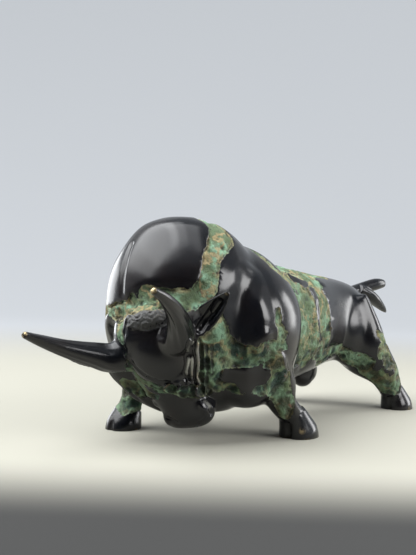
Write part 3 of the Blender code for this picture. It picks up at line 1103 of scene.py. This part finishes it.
def fused(
    name: str, meshes: Sequence[Mesh], voxel: float, passes: int, rounding: int
) -> Mesh:
    """One closed skin round several meshes, softened.

    Args:
        name: the name of the result.
        meshes: the meshes, which are removed.
        voxel: the size of the skin's faces, in shares.
        passes: how often it is softened.
        rounding: how often its faces are divided afterwards.

    Returns:
        The joined mesh.
    """
    work = bmesh.new()
    for each in meshes:
        work.from_mesh(each)
        bpy.data.meshes.remove(each)
    made = bpy.data.objects.new(name, as_mesh(work, name))
    bpy.context.scene.collection.objects.link(made)
    remesh = made.modifiers.new("one_skin", "REMESH")
    remesh.mode = "VOXEL"
    remesh.voxel_size = voxel * SHARE
    soften = made.modifiers.new("soften", "SMOOTH")
    soften.factor = 0.5
    soften.iterations = passes
    if rounding:
        divide = made.modifiers.new("divide", "SUBSURF")
        divide.levels = divide.render_levels = rounding
    return settled(made)


@dataclass
class Casting:
    """The whole bull as one skin, carved, textured and thinned to a fair count of triangles."""

    trunk: Trunk
    legs: tuple[Leg, ...]
    tail: Tail
    head: Head
    patina: PatinaMap
    body_voxel: float = 1.7
    body_softening: int = 22
    fine_voxel: float = 0.62
    quick_voxel: float = 1.0
    fine_softening: int = 8
    triangles: int = 190_000
    recess: float = 1.1
    lip: float = 0.9
    coarse_lumps: float = 1.0
    fine_lumps: float = 0.26
    ridge_size: float = 8.5
    crag_size: float = 4.4
    grit_size: float = 1.4
    crest_passes: int = 2
    horn_wear: float = 3.6
    ear_wear: float = 3.2
    toe_wear: float = 5.0

    def one_skin(self) -> Mesh:
        """Trunk and legs as one soft form, then the smaller parts joined to it.

        Returns:
            The closed mesh.
        """
        masses = self.trunk.masses()
        for leg in self.legs:
            masses += leg.masses()
        body = Surface(fused("body", masses, self.body_voxel, self.body_softening, 1))
        body = body.raised(-sum(stroke.sink(body.points) for stroke in self.trunk.strokes()))
        pieces = [body.mesh] + [leg.hoof() for leg in self.legs] + self.tail.masses() + self.head.masses()
        voxel = self.fine_voxel
        return fused("bull", pieces, voxel, self.fine_softening, 0)

    def carved(self, skin: Surface) -> Surface:
        """Cuts the strokes of hooves and head, and raises hair, nose band and horn ribs.

        Args:
            skin: the smooth surface.

        Returns:
            The carved surface.
        """
        strokes = self.head.strokes()
        for leg in self.legs:
            strokes += leg.hoof_strokes()
        skin = skin.raised(-sum(stroke.sink(skin.points) for stroke in strokes))
        relief = self.head.locks(skin.points) + self.head.band(skin.points, Grain(BAND_SEED))
        return skin.raised(relief + self.head.flutes(skin.points))

    def textured(self, skin: Surface) -> Surface:
        """Sinks the patina below the polish, and breaks up its floor.

        Args:
            skin: the carved surface.

        Returns:
            The textured surface.
        """
        edge = self.patina.polish(skin.points)
        rough = 1.0 - soft_step(edge / self.lip + 0.8)
        grit = self.fine_lumps * Grain(GRIT_SEED).at(skin.points, self.grit_size)
        lumps = self.coarse_lumps * self.lumps(skin.points) + grit
        return skin.raised(rough * (lumps - self.recess))

    def lumps(self, points: np.ndarray) -> np.ndarray:
        """The crusts of the patina, from -1 in a pit to 1 on a crest.

        Args:
            points: points in shares, one to a row.

        Returns:
            One number for each point.
        """
        ridges = 1.0 - 2.5 * np.abs(Grain(RIDGE_SEED).at(points, self.ridge_size))
        crags = 1.0 - 2.5 * np.abs(Grain(CRAG_SEED).at(points, self.crag_size))
        return 0.6 * ridges + 0.4 * crags

    def cut_flat(self, mesh: Mesh) -> None:
        """Cuts the feet off flat on the ground.

        Args:
            mesh: the mesh, which is changed.
        """
        work = bmesh.new()
        work.from_mesh(mesh)
        everything = work.verts[:] + work.edges[:] + work.faces[:]
        cut = bmesh.ops.bisect_plane(
            work, geom=everything, plane_co=(0, 0, 0), plane_no=(0, 0, 1), clear_inner=True
        )
        edges = [e for e in cut["geom_cut"] if isinstance(e, bmesh.types.BMEdge)]
        bmesh.ops.holes_fill(work, edges=edges, sides=0)
        bmesh.ops.triangulate(work, faces=[f for f in work.faces if len(f.verts) > 4])
        bmesh.ops.recalc_face_normals(work, faces=work.faces)
        work.to_mesh(mesh)
        work.free()

    def thinned(self, mesh: Mesh) -> Mesh:
        """The mesh with about so many triangles, its form kept.

        Args:
            mesh: the dense mesh.

        Returns:
            The thinned mesh.
        """
        faces = sum(len(face.vertices) - 2 for face in mesh.polygons)
        made = bpy.data.objects.new("thinned", mesh)
        bpy.context.scene.collection.objects.link(made)
        thin = made.modifiers.new("thin", "DECIMATE")
        thin.use_collapse_triangulate = True
        thin.ratio = min(1.0, self.triangles / faces)
        return settled(made)

    def build(self, low: Vector, high: Vector) -> bpy.types.Object:
        """Makes the casting inside the frame's own box.

        Args:
            low: the box's lowest corner, in metres.
            high: its highest corner.

        Returns:
            The finished object, without a material.
        """
        skin = self.textured(self.carved(Surface(self.one_skin())))
        self.cut_flat(skin.mesh)
        fine = Surface(skin.mesh)
        crests = fine.crests(self.crest_passes)
        tree = KDTree(len(fine.points))
        for index, point in enumerate(fine.points):
            tree.insert(point, index)
        tree.balance()
        thin = Surface(self.thinned(skin.mesh))
        twins = np.array([tree.find(point)[1] for point in thin.points])
        stored = {
            "polish": self.patina.polish(thin.points),
            "crest": crests[twins],
            "gilt": self.gilded(thin.points),
            "ash": self.head.ashen(thin.points),
            "bare_and_highlit": self.head.bare_and_highlit(thin.points),
            "lump": self.lumps(thin.points),
        }
        for name, values in stored.items():
            self.attribute(thin.mesh, name, values)
        self.fit(thin, low, high)
        thin.mesh.shade_smooth()
        bull = bpy.data.objects.new("bull_casting", thin.mesh)
        bpy.context.scene.collection.objects.link(bull)
        return bull

    def fit(self, skin: Surface, low: Vector, high: Vector) -> None:
        """Centres the skin in the box and keeps every point inside it.

        Args:
            skin: the surface, which is changed.
            low: the box's lowest corner in metres.
            high: its highest corner.
        """
        middle = (np.array(low) + np.array(high)) / 2.0
        points = skin.points * SHARE
        points[:, 0] += middle[0] - (points[:, 0].min() + points[:, 0].max()) / 2.0
        points[:, 1] += middle[1] - (points[:, 1].min() + points[:, 1].max()) / 2.0
        points = np.clip(points, np.array(low), np.array(high))
        skin.moved(points / SHARE)

    def gilded(self, points: np.ndarray) -> np.ndarray:
        """Where handling has worn the dark down to gold, at tips and one toe, from 0 to 1.

        Args:
            points: points in shares, one to a row.

        Returns:
            One number for each point.
        """
        worn = np.zeros(len(points))
        for side in Side:
            tip = self.head.horn(side)[-1]
            ear_tip = tuple(self.head.at(-14, -55 * side.value, 12.5))
            for place, reach in ((tip[:3], self.horn_wear), (ear_tip, self.ear_wear)):
                gap = np.linalg.norm(points - np.array(place), axis=1)
                worn = np.maximum(worn, 1.0 - soft_step(gap / reach))
        x, y = self.legs[0].foot
        toe = np.array((x - 12.0, y - 8.0, 6.0))
        gap = np.linalg.norm(points - toe, axis=1)
        return np.maximum(worn, 0.7 * (1.0 - soft_step(gap / self.toe_wear)))

    def attribute(self, mesh: Mesh, name: str, values: np.ndarray) -> None:
        """Stores one number for each vertex under a name."""
        data = mesh.attributes.new(name, "FLOAT", "POINT").data
        data.foreach_set("value", values.astype(np.float32))


# Finishes


@dataclass(frozen=True)
class Speckle:
    """Patches made from noise: its grain in metres, and the share of its range that they take."""

    grain: float
    low: float
    high: float
    detail: float = 4.0
    roughness: float = 0.55


class Recipe:
    """A material's nodes, added one by one."""

    def __init__(self, name: str) -> None:
        """Starts from a bare Principled shader.

        Args:
            name: the material's name.
        """
        self.material = bpy.data.materials.new(name)
        self.material.use_nodes = True
        self.tree = self.material.node_tree
        self.shader = self.tree.nodes["Principled BSDF"]
        self.place = self.add("ShaderNodeTexCoord").outputs["Object"]

    def add(self, kind: str, inputs: dict | None = None, **settings: object) -> bpy.types.Node:
        """Adds a node.

        Args:
            kind: Blender's name for it.
            inputs: values or sockets for its inputs, by name or number.
            settings: its own properties.

        Returns:
            The node.
        """
        node = self.tree.nodes.new(kind)
        for name, value in settings.items():
            setattr(node, name, value)
        for name, value in (inputs or {}).items():
            self.feed(node.inputs[name], value)
        return node

    def feed(self, socket: Socket, value: object) -> None:
        """Links a socket to an input, or gives the input a value."""
        if isinstance(value, Socket):
            self.tree.links.new(value, socket)
        else:
            socket.default_value = value

    def noise(self, size: float, detail: float = 3.0, roughness: float = 0.55) -> Socket:
        """Noise with lumps of a size in metres, from 0 to 1."""
        inputs = {"Vector": self.place, "Scale": 1.0 / size, "Detail": detail, "Roughness": roughness}
        return self.add("ShaderNodeTexNoise", inputs).outputs["Fac"]

    def patches(self, speckle: Speckle, start: float = 0.0, end: float = 1.0) -> Socket:
        """Soft-edged patches, as a number between start and end."""
        noise = self.noise(speckle.grain, speckle.detail, speckle.roughness)
        return self.ramp(noise, speckle.low, speckle.high, start, end)

    def stored(self, name: str) -> Socket:
        """A number kept on the mesh."""
        return self.add("ShaderNodeAttribute", attribute_name=name).outputs["Fac"]

    def ramp(
        self, value: object, low: float, high: float, start: object = 0.0, end: object = 1.0
    ) -> Socket:
        """The value's place between low and high, as a number between start and end."""
        inputs = {"Value": value, "From Min": low, "From Max": high, "To Min": start, "To Max": end}
        return self.add("ShaderNodeMapRange", inputs, interpolation_type="SMOOTHSTEP").outputs["Result"]

    def math(self, operation: str, first: object, second: object = 0.0) -> Socket:
        """One sum of two numbers."""
        return self.add("ShaderNodeMath", {0: first, 1: second}, operation=operation).outputs[0]

    def times(self, first: object, second: object) -> Socket:
        """The product of two numbers."""
        return self.math("MULTIPLY", first, second)

    def blend(self, share: object, first: object, second: object) -> Socket:
        """A colour between two colours."""
        return self.add("ShaderNodeMix", {0: share, 6: first, 7: second}, data_type="RGBA").outputs[2]

    def between(self, share: object, first: object, second: object) -> Socket:
        """A number between two numbers."""
        return self.add("ShaderNodeMix", {0: share, 2: first, 3: second}, data_type="FLOAT").outputs[0]


Colour = tuple[float, float, float, float]


@dataclass(frozen=True)
class PatinatedBronze:
    """Dark waxed bronze, green and ochre in its channels and worn to gold at its tips."""

    black: Colour = (0.0024, 0.0029, 0.0042, 1.0)
    brown: Colour = (0.0060, 0.0046, 0.0046, 1.0)
    ash: Colour = (0.050, 0.050, 0.048, 1.0)
    bottle: Colour = (0.010, 0.030, 0.020, 1.0)
    olive: Colour = (0.036, 0.044, 0.020, 1.0)
    leaf: Colour = (0.085, 0.125, 0.060, 1.0)
    mint: Colour = (0.195, 0.345, 0.230, 1.0)
    ochre: Colour = (0.290, 0.220, 0.105, 1.0)
    rust: Colour = (0.130, 0.048, 0.022, 1.0)
    # Painted shade in creases and pits.
    painted_crease_shade: Colour = (0.010, 0.012, 0.010, 1.0)
    # Worn bright metal, partly a painted highlight, on hair strands and nostril.
    silver_and_highlight: Colour = (0.44, 0.44, 0.40, 1.0)
    gold: Colour = (0.48, 0.37, 0.20, 1.0)
    polish_roughness: float = 0.19
    ash_roughness: float = 0.48
    patina_roughness: float = 0.74
    gold_roughness: float = 0.28
    refraction: float = 1.43
    # Heights in metres over which the patina's painted shade fades out upwards.
    low: float = 0.042
    high: float = 0.108
    gold_metal: float = 0.9
    waxed: Speckle = Speckle(0.035, 0.38, 0.72)
    smudges: Speckle = Speckle(0.022, 0.35, 0.75)
    smudge_roughness: float = 0.09
    fray: Speckle = Speckle(0.0016, 0.3, 0.7, 3.0)
    fray_width: float = 0.35
    ashy: Speckle = Speckle(0.003, 0.30, 0.50)
    rubbed_and_highlit: Speckle = Speckle(0.005, 0.36, 0.52)
    rubbed_and_highlit_share: float = 0.8
    chalk: Speckle = Speckle(0.003, 0.3, 0.7)
    worn_tips: Speckle = Speckle(0.004, 0.35, 0.6)
    worn_crests: Speckle = Speckle(0.012, 0.5, 0.7, 3.0)
    olive_ground: Speckle = Speckle(0.016, 0.44, 0.56)
    crumbs: Speckle = Speckle(0.006, 0.25, 0.75, 4.0, 0.6)
    crumb_height: float = 0.4
    mint_areas: Speckle = Speckle(0.022, 0.43, 0.55, 5.0, 0.6)
    rim_breaks: Speckle = Speckle(0.014, 0.44, 0.56, 3.0)
    rust_spots: Speckle = Speckle(0.0052, 0.61, 0.71, 4.0, 0.6)
    vein_grain: float = 0.026
    height_light_grain: float = 0.03
    bump_depth: float = 0.0016
    polish_bump_depth: float = 0.0003

    def material(self) -> bpy.types.Material:
        """The finish as a node material.

        Returns:
            The material.
        """
        nodes = Recipe("patinated_bronze")
        edge = nodes.stored("polish")
        crest = nodes.stored("crest")
        fray = nodes.patches(self.fray, -self.fray_width, self.fray_width)
        polish = nodes.ramp(nodes.math("ADD", edge, fray), -0.25, 0.15)
        gilt = self.worn(nodes, crest, polish)
        ash = nodes.times(nodes.stored("ash"), nodes.patches(self.ashy))
        # Hair strands and the nostril's wing: worn bright metal, partly a painted highlight.
        rubbed_and_highlit = nodes.patches(self.rubbed_and_highlit, 0.0, self.rubbed_and_highlit_share)
        rubbed_and_highlit = nodes.times(nodes.stored("bare_and_highlit"), rubbed_and_highlit)
        bright = nodes.math("MAXIMUM", gilt, rubbed_and_highlit)
        skin = nodes.blend(ash, self.skin_colour(nodes), self.ash)
        colour = nodes.blend(polish, self.patina_colour(nodes, edge, crest), skin)
        colour = nodes.blend(rubbed_and_highlit, colour, self.silver_and_highlight)
        nodes.feed(nodes.shader.inputs["Base Color"], nodes.blend(gilt, colour, self.gold))
        nodes.feed(nodes.shader.inputs["Metallic"], nodes.times(bright, self.gold_metal))
        nodes.shader.inputs["IOR"].default_value = self.refraction
        low, high = self.polish_roughness, self.polish_roughness + self.smudge_roughness
        smudge = nodes.patches(self.smudges, low, high)
        chalk = nodes.patches(self.chalk, self.patina_roughness - 0.25, self.patina_roughness + 0.15)
        rough = nodes.between(polish, chalk, nodes.between(ash, smudge, self.ash_roughness))
        nodes.feed(nodes.shader.inputs["Roughness"], nodes.between(bright, rough, self.gold_roughness))
        self.bump(nodes, nodes.math("SUBTRACT", polish, nodes.times(ash, 0.6)))
        return nodes.material

    def worn(
        self, nodes: Recipe, crest: Socket, polish: Socket
    ) -> Socket:
        """Where the metal shows gold: at the tips, and on the sharpest crests.

        Args:
            nodes: the material's nodes.
            crest: how much the surface stands up.
            polish: where the skin is polished, from 0 to 1.

        Returns:
            The share of gold.
        """
        tips = nodes.ramp(nodes.stored("gilt"), 0.25, 0.85)
        tips = nodes.times(tips, nodes.patches(self.worn_tips))
        sharp = nodes.times(nodes.ramp(crest, 0.05, 0.14), nodes.patches(self.worn_crests))
        sharp = nodes.times(sharp, nodes.between(polish, 0.35, 0.5))
        return nodes.math("MAXIMUM", tips, sharp)

    def skin_colour(self, nodes: Recipe) -> Socket:
        """The dark skin, brown where the wax has thinned."""
        return nodes.blend(nodes.patches(self.waxed), self.black, self.brown)

    def painted_height_light(self, nodes: Recipe) -> Socket:
        """Painted shade by height: from 0 low on the bull, where the patina is painted darker, to 1 high up.

        Args:
            nodes: the material's nodes.

        Returns:
            The share.
        """
        height = nodes.add("ShaderNodeSeparateXYZ", {0: nodes.place}).outputs["Z"]
        wander = nodes.times(nodes.noise(self.height_light_grain, 3.0), 0.04)
        return nodes.ramp(nodes.math("ADD", height, wander), self.low + 0.02, self.high)

    def patina_colour(
        self, nodes: Recipe, edge: Socket, crest: Socket
    ) -> Socket:
        """Greens mottled with ochre and rust, lighter on raised lumps, partly as painted highlight, darker
        low on the bull and near black in creases and pits, both painted shade.

        Args:
            nodes: the material's nodes.
            edge: the distance inside the polish, negative in the patina.
            crest: how much the surface stands up.

        Returns:
            The colour.
        """
        # Painted shade: leaf, mint and ochre thin out low on the bull, so the patina darkens towards the
        # bottom.
        lit_share = self.painted_height_light(nodes)
        crumbs = nodes.patches(self.crumbs, -self.crumb_height, self.crumb_height)
        lump = nodes.math("ADD", nodes.stored("lump"), crumbs)
        greens = nodes.blend(nodes.patches(self.olive_ground), self.bottle, self.olive)
        # Partly the patina's own colour, partly painted highlight: raised lumps turn leaf green and then
        # mint.
        leafy = nodes.ramp(lump, nodes.between(lit_share, 0.1, -1.3), nodes.between(lit_share, 0.8, -0.3))
        greens = nodes.blend(leafy, greens, self.leaf)
        minty = nodes.times(nodes.ramp(lump, -0.2, 0.8), nodes.patches(self.mint_areas))
        minty = nodes.times(minty, nodes.between(lit_share, 0.35, 1.0))
        greens = nodes.blend(minty, greens, self.mint)
        greens = nodes.blend(self.earthiness(nodes, edge, lit_share), greens, self.ochre)
        rusty = nodes.times(nodes.patches(self.rust_spots), 0.7)
        greens = nodes.blend(rusty, greens, self.rust)
        # Painted shade: creases and the pits between lumps darken towards near black.
        crease_shade_share = nodes.math("MAXIMUM", nodes.ramp(crest, 0.0, -0.07), nodes.ramp(lump, -0.7, -1.3))
        return nodes.blend(nodes.times(crease_shade_share, 0.75), greens, self.painted_crease_shade)

    def earthiness(
        self, nodes: Recipe, edge: Socket, lit_share: Socket
    ) -> Socket:
        """Where ochre shows: in thin veins, and along the rims of the channels.

        Args:
            nodes: the material's nodes.
            edge: the distance inside the polish, negative in the patina.
            lit_share: how far the patina is spared the painted shade of low places, from 0 to 1.

        Returns:
            The share of ochre.
        """
        vein = nodes.math("SUBTRACT", nodes.noise(self.vein_grain, 4.0, 0.55), 0.5)
        vein = nodes.ramp(nodes.math("ABSOLUTE", vein), 0.032, 0.008)
        rim = nodes.times(nodes.ramp(edge, -3.2, -1.0), nodes.patches(self.rim_breaks))
        earthy = nodes.math("MAXIMUM", vein, nodes.times(rim, 0.7))
        return nodes.times(earthy, nodes.between(lit_share, 0.22, 0.8))

    def bump(self, nodes: Recipe, polish: Socket) -> None:
        """Crumbly patina, and the faint unevenness and pinholes of a hand-polished casting.

        Args:
            nodes: the material's nodes.
            polish: how smooth the skin is, from 0 to 1.
        """
        grit = nodes.times(nodes.noise(0.0007, 3.0), 0.4)
        crumbs = nodes.math("ADD", nodes.noise(0.0022, 5.0, 0.7), grit)
        waves = nodes.times(nodes.noise(0.010, 2.0), 0.35)
        pits = nodes.add("ShaderNodeTexVoronoi", {"Vector": nodes.place, "Scale": 150.0}, feature="F1")
        holes = nodes.ramp(pits.outputs["Distance"], 0.02, 0.07, -0.25, 0.0)
        rough_bump = nodes.add(
            "ShaderNodeBump",
            {
                "Height": crumbs,
                "Distance": self.bump_depth,
                "Strength": nodes.between(polish, 1.0, 0.0),
            },
        )
        fine_bump = nodes.add(
            "ShaderNodeBump",
            {
                "Height": nodes.math("ADD", waves, holes),
                "Distance": self.polish_bump_depth,
                "Strength": nodes.between(polish, 0.0, 0.35),
                "Normal": rough_bump.outputs["Normal"],
            },
        )
        nodes.feed(nodes.shader.inputs["Normal"], fine_bump.outputs["Normal"])


@dataclass(frozen=True)
class PaleGround:
    """Matt pale paper, a wall behind that also glows faintly, and painted shade on the floor on the side of
    the camera.
    """

    floor: Colour = (0.37, 0.36, 0.308, 1.0)
    wall: Colour = (0.155, 0.16, 0.165, 1.0)
    # Painted shade: the floor's near-black colour on the camera's side.
    painted_front_shade: Colour = (0.036, 0.036, 0.035, 1.0)
    glow: Colour = (0.90, 0.945, 1.0, 1.0)
    glow_strength: float = 0.52
    roughness: float = 0.9
    gloss: float = 0.2
    shade: Colour = (0.030, 0.032, 0.035, 1.0)
    wall_foot: float = 0.35
    wall_start: float = 1.1
    front_shade_start: float = -0.125
    front_shade_full: float = -0.235
    shade_start: float = -0.36
    shade_full: float = -0.70

    def material(self, ahead: Vector) -> bpy.types.Material:
        """The finish as a node material.

        Args:
            ahead: the level direction away from the shaded side.

        Returns:
            The material.
        """
        nodes = Recipe("pale_ground")
        place = nodes.add("ShaderNodeSeparateXYZ", {0: nodes.place})
        distance = nodes.add("ShaderNodeVectorMath", {0: nodes.place}, operation="LENGTH").outputs["Value"]
        colour = nodes.blend(nodes.ramp(distance, self.wall_foot, self.wall_start), self.floor, self.wall)
        along = nodes.times(place.outputs["X"], ahead.x)
        along = nodes.math("ADD", along, nodes.times(place.outputs["Y"], ahead.y))
        # Painted shade: the floor's colour darkens towards the camera.
        colour = nodes.blend(nodes.ramp(along, self.front_shade_start, self.front_shade_full), colour, self.painted_front_shade)
        # Painted shade further towards the camera, where the wall's glow is also taken away.
        shaded = nodes.ramp(along, self.shade_start, self.shade_full)
        nodes.feed(nodes.shader.inputs["Base Color"], nodes.blend(shaded, colour, self.shade))
        glowing = nodes.math("SUBTRACT", nodes.ramp(distance, self.wall_foot, self.wall_start), shaded)
        strength = nodes.times(nodes.math("MAXIMUM", glowing, 0.0), self.glow_strength)
        nodes.shader.inputs["Emission Color"].default_value = self.glow
        nodes.feed(nodes.shader.inputs["Emission Strength"], strength)
        nodes.shader.inputs["Roughness"].default_value = self.roughness
        nodes.shader.inputs["Specular IOR Level"].default_value = self.gloss
        return nodes.material


# The studio

COOL = (0.97, 0.985, 1.0)
BACK, SHOULDER, BODY = (-0.1, 0, 0.1), (-0.1, 0, 0.08), (0, 0, 0.07)

@dataclass(frozen=True)
class Lamp:
    """A soft rectangular lamp that faces a point."""

    name: str
    place: Numbers
    aim: Numbers
    width: float
    height: float
    radiance: float
    colour: Numbers = (1.0, 1.0, 1.0)
    lights_floor: bool = True

    def build(self, subjects: bpy.types.Collection) -> None:
        """Makes the lamp, unseen by the camera itself but not by what it is mirrored in.

        Args:
            subjects: what a lamp that leaves the floor alone shines on.
        """
        light = bpy.data.lights.new(self.name, "AREA")
        light.shape = "RECTANGLE"
        light.size, light.size_y = self.width, self.height
        light.energy = self.radiance * math.pi * self.width * self.height
        light.color = self.colour
        lamp = bpy.data.objects.new(self.name, light)
        lamp.location = self.place
        lamp.rotation_euler = (Vector(self.place) - Vector(self.aim)).to_track_quat("Z", "Y").to_euler()
        lamp.visible_camera = False
        if not self.lights_floor:
            lamp.light_linking.receiver_collection = subjects
        bpy.context.scene.collection.objects.link(lamp)


@dataclass
class Studio:
    """A pale round floor that rises at its rim, soft lamps, and the camera."""

    floor_radius: float = 1.3
    rim_radius: float = 2.6
    rim_height: float = 2.4
    hub_radius: float = 0.02
    rim_steps: int = 16
    floor_sides: int = 96
    sky_colour: Colour = (0.80, 0.86, 0.93, 1.0)
    sky_strength: float = 0.45
    view_angle: float = 54.0
    roll: float = 0.03
    focal_pixels: float = 800.0
    picture_height: float = 555.0
    sensor: float = 36.0
    camera_place: Numbers = (-0.5069, -0.3025, 0.1007)
    lamps: tuple[Lamp, ...] = (
        Lamp("main_sky", (-0.62, 0.60, 1.08), BACK, 1.50, 1.40, 4.4, COOL),
        Lamp("middle_sky", (-0.46, 0.36, 1.20), BACK, 1.50, 1.30, 1.9, COOL),
        Lamp("halo_sky", (-0.20, -0.10, 1.30), BACK, 1.00, 1.00, 2.4, (0.97, 0.98, 1.0)),
        Lamp("left_window", (0.10, 1.14, 0.20), SHOULDER, 0.70, 0.42, 4.8, (0.96, 0.98, 1.0), False),
        Lamp("right_window", (0.13, -1.08, 0.53), SHOULDER, 0.66, 0.62, 11.0),
        Lamp("back_strip", (0.95, -0.60, 0.32), BODY, 0.34, 0.80, 7.5),
    )

    def ahead(self) -> Vector:
        """The level direction that the camera looks in."""
        angle = math.radians(self.view_angle)
        return Vector((math.sin(angle), math.cos(angle), 0.0))

    def floor(self) -> bpy.types.Object:
        """A round floor whose rim rises in a curve.

        Returns:
            The floor's object.
        """
        rows = [(self.hub_radius, 0.0), (self.floor_radius * 0.5, 0.0), (self.floor_radius, 0.0)]
        for step in range(1, self.rim_steps + 1):
            angle = math.radians(90.0 * step / self.rim_steps)
            across = (self.rim_radius - self.floor_radius) * math.sin(angle)
            rows.append((self.floor_radius + across, self.rim_height * (1.0 - math.cos(angle))))
        work = bmesh.new()
        sides = self.floor_sides
        angles = [2.0 * math.pi * i / sides for i in range(sides)]
        rings = []
        for radius, height in rows:
            points = [(radius * math.cos(a), radius * math.sin(a), height) for a in angles]
            rings.append([work.verts.new(point) for point in points])
        work.faces.new(rings[0])
        for low, high in zip(rings, rings[1:]):
            for i in range(sides):
                j = (i + 1) % sides
                work.faces.new((low[i], high[i], high[j], low[j]))
        bmesh.ops.recalc_face_normals(work, faces=work.faces)
        mesh = as_mesh(work, "floor")
        mesh.shade_smooth()
        mesh.materials.append(PaleGround().material(self.ahead()))
        made = bpy.data.objects.new("floor", mesh)
        bpy.context.scene.collection.objects.link(made)
        return made

    def camera(self, moved: float) -> bpy.types.Object:
        """The camera at the photograph's place.

        Args:
            moved: how far the casting was moved along X to be centred, in metres.

        Returns:
            The camera.
        """
        ahead, up = self.ahead(), Vector((0, 0, 1))
        right = ahead.cross(up)
        lean = math.atan(self.roll)
        across = right * math.cos(lean) + up * math.sin(lean)
        above = up * math.cos(lean) - right * math.sin(lean)
        turned = Matrix((across, above, -ahead)).transposed().to_4x4()
        data = bpy.data.cameras.new("camera")
        data.sensor_fit = "AUTO"
        data.sensor_width = self.sensor
        data.lens = self.focal_pixels * self.sensor / self.picture_height
        made = bpy.data.objects.new("camera", data)
        x, y, z = self.camera_place
        made.matrix_world = Matrix.Translation((x + moved, y, z)) @ turned
        bpy.context.scene.collection.objects.link(made)
        bpy.context.scene.camera = made
        return made

    def world(self) -> None:
        """A dim even sky."""
        world = bpy.data.worlds.new("sky")
        bpy.context.scene.world = world
        world.use_nodes = True
        background = world.node_tree.nodes["Background"]
        background.inputs["Color"].default_value = self.sky_colour
        background.inputs["Strength"].default_value = self.sky_strength

    def build(self, bull: bpy.types.Object, moved: float) -> None:
        """Makes floor, lamps, sky and camera.

        Args:
            bull: the casting that is lit.
            moved: how far it was moved along X to be centred, in metres.
        """
        self.floor()
        subjects = bpy.data.collections.new("lit")
        subjects.objects.link(bull)
        for lamp in self.lamps:
            lamp.build(subjects)
        self.world()
        self.camera(moved)
        bpy.context.scene.view_settings.view_transform = "Standard"
        log.info("studio: %d lamps", len(self.lamps))


def main() -> None:
    """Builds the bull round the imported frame, finishes it and sets it in the studio."""
    logging.basicConfig(level=logging.INFO, format="%(name)s: %(message)s")
    head = Head()
    legs = (
        Foreleg(Side.LEFT, (-71, -45, 28), (-50, -48.5)),
        Foreleg(Side.RIGHT, (-105, 46.5, 27), (-110.5, 49.7), hoof_radius=10.6),
        HindLeg(Side.LEFT, (90, -43, 30), (109, -48.5)),
        HindLeg(Side.RIGHT, (70, 38, 30), (74, 42)),
    )
    casting = Casting(Trunk(), legs, Tail(), head, PatinaMap(head))
    bull = casting.build(*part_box("bull"))
    bull.data.materials.append(PatinatedBronze().material())
    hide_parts("bull")
    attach(bull, "root")
    log.info("bull_casting: %d triangles", len(bull.data.polygons))
    Studio().build(bull, MOVED)


if __name__ == "__main__":
    main()
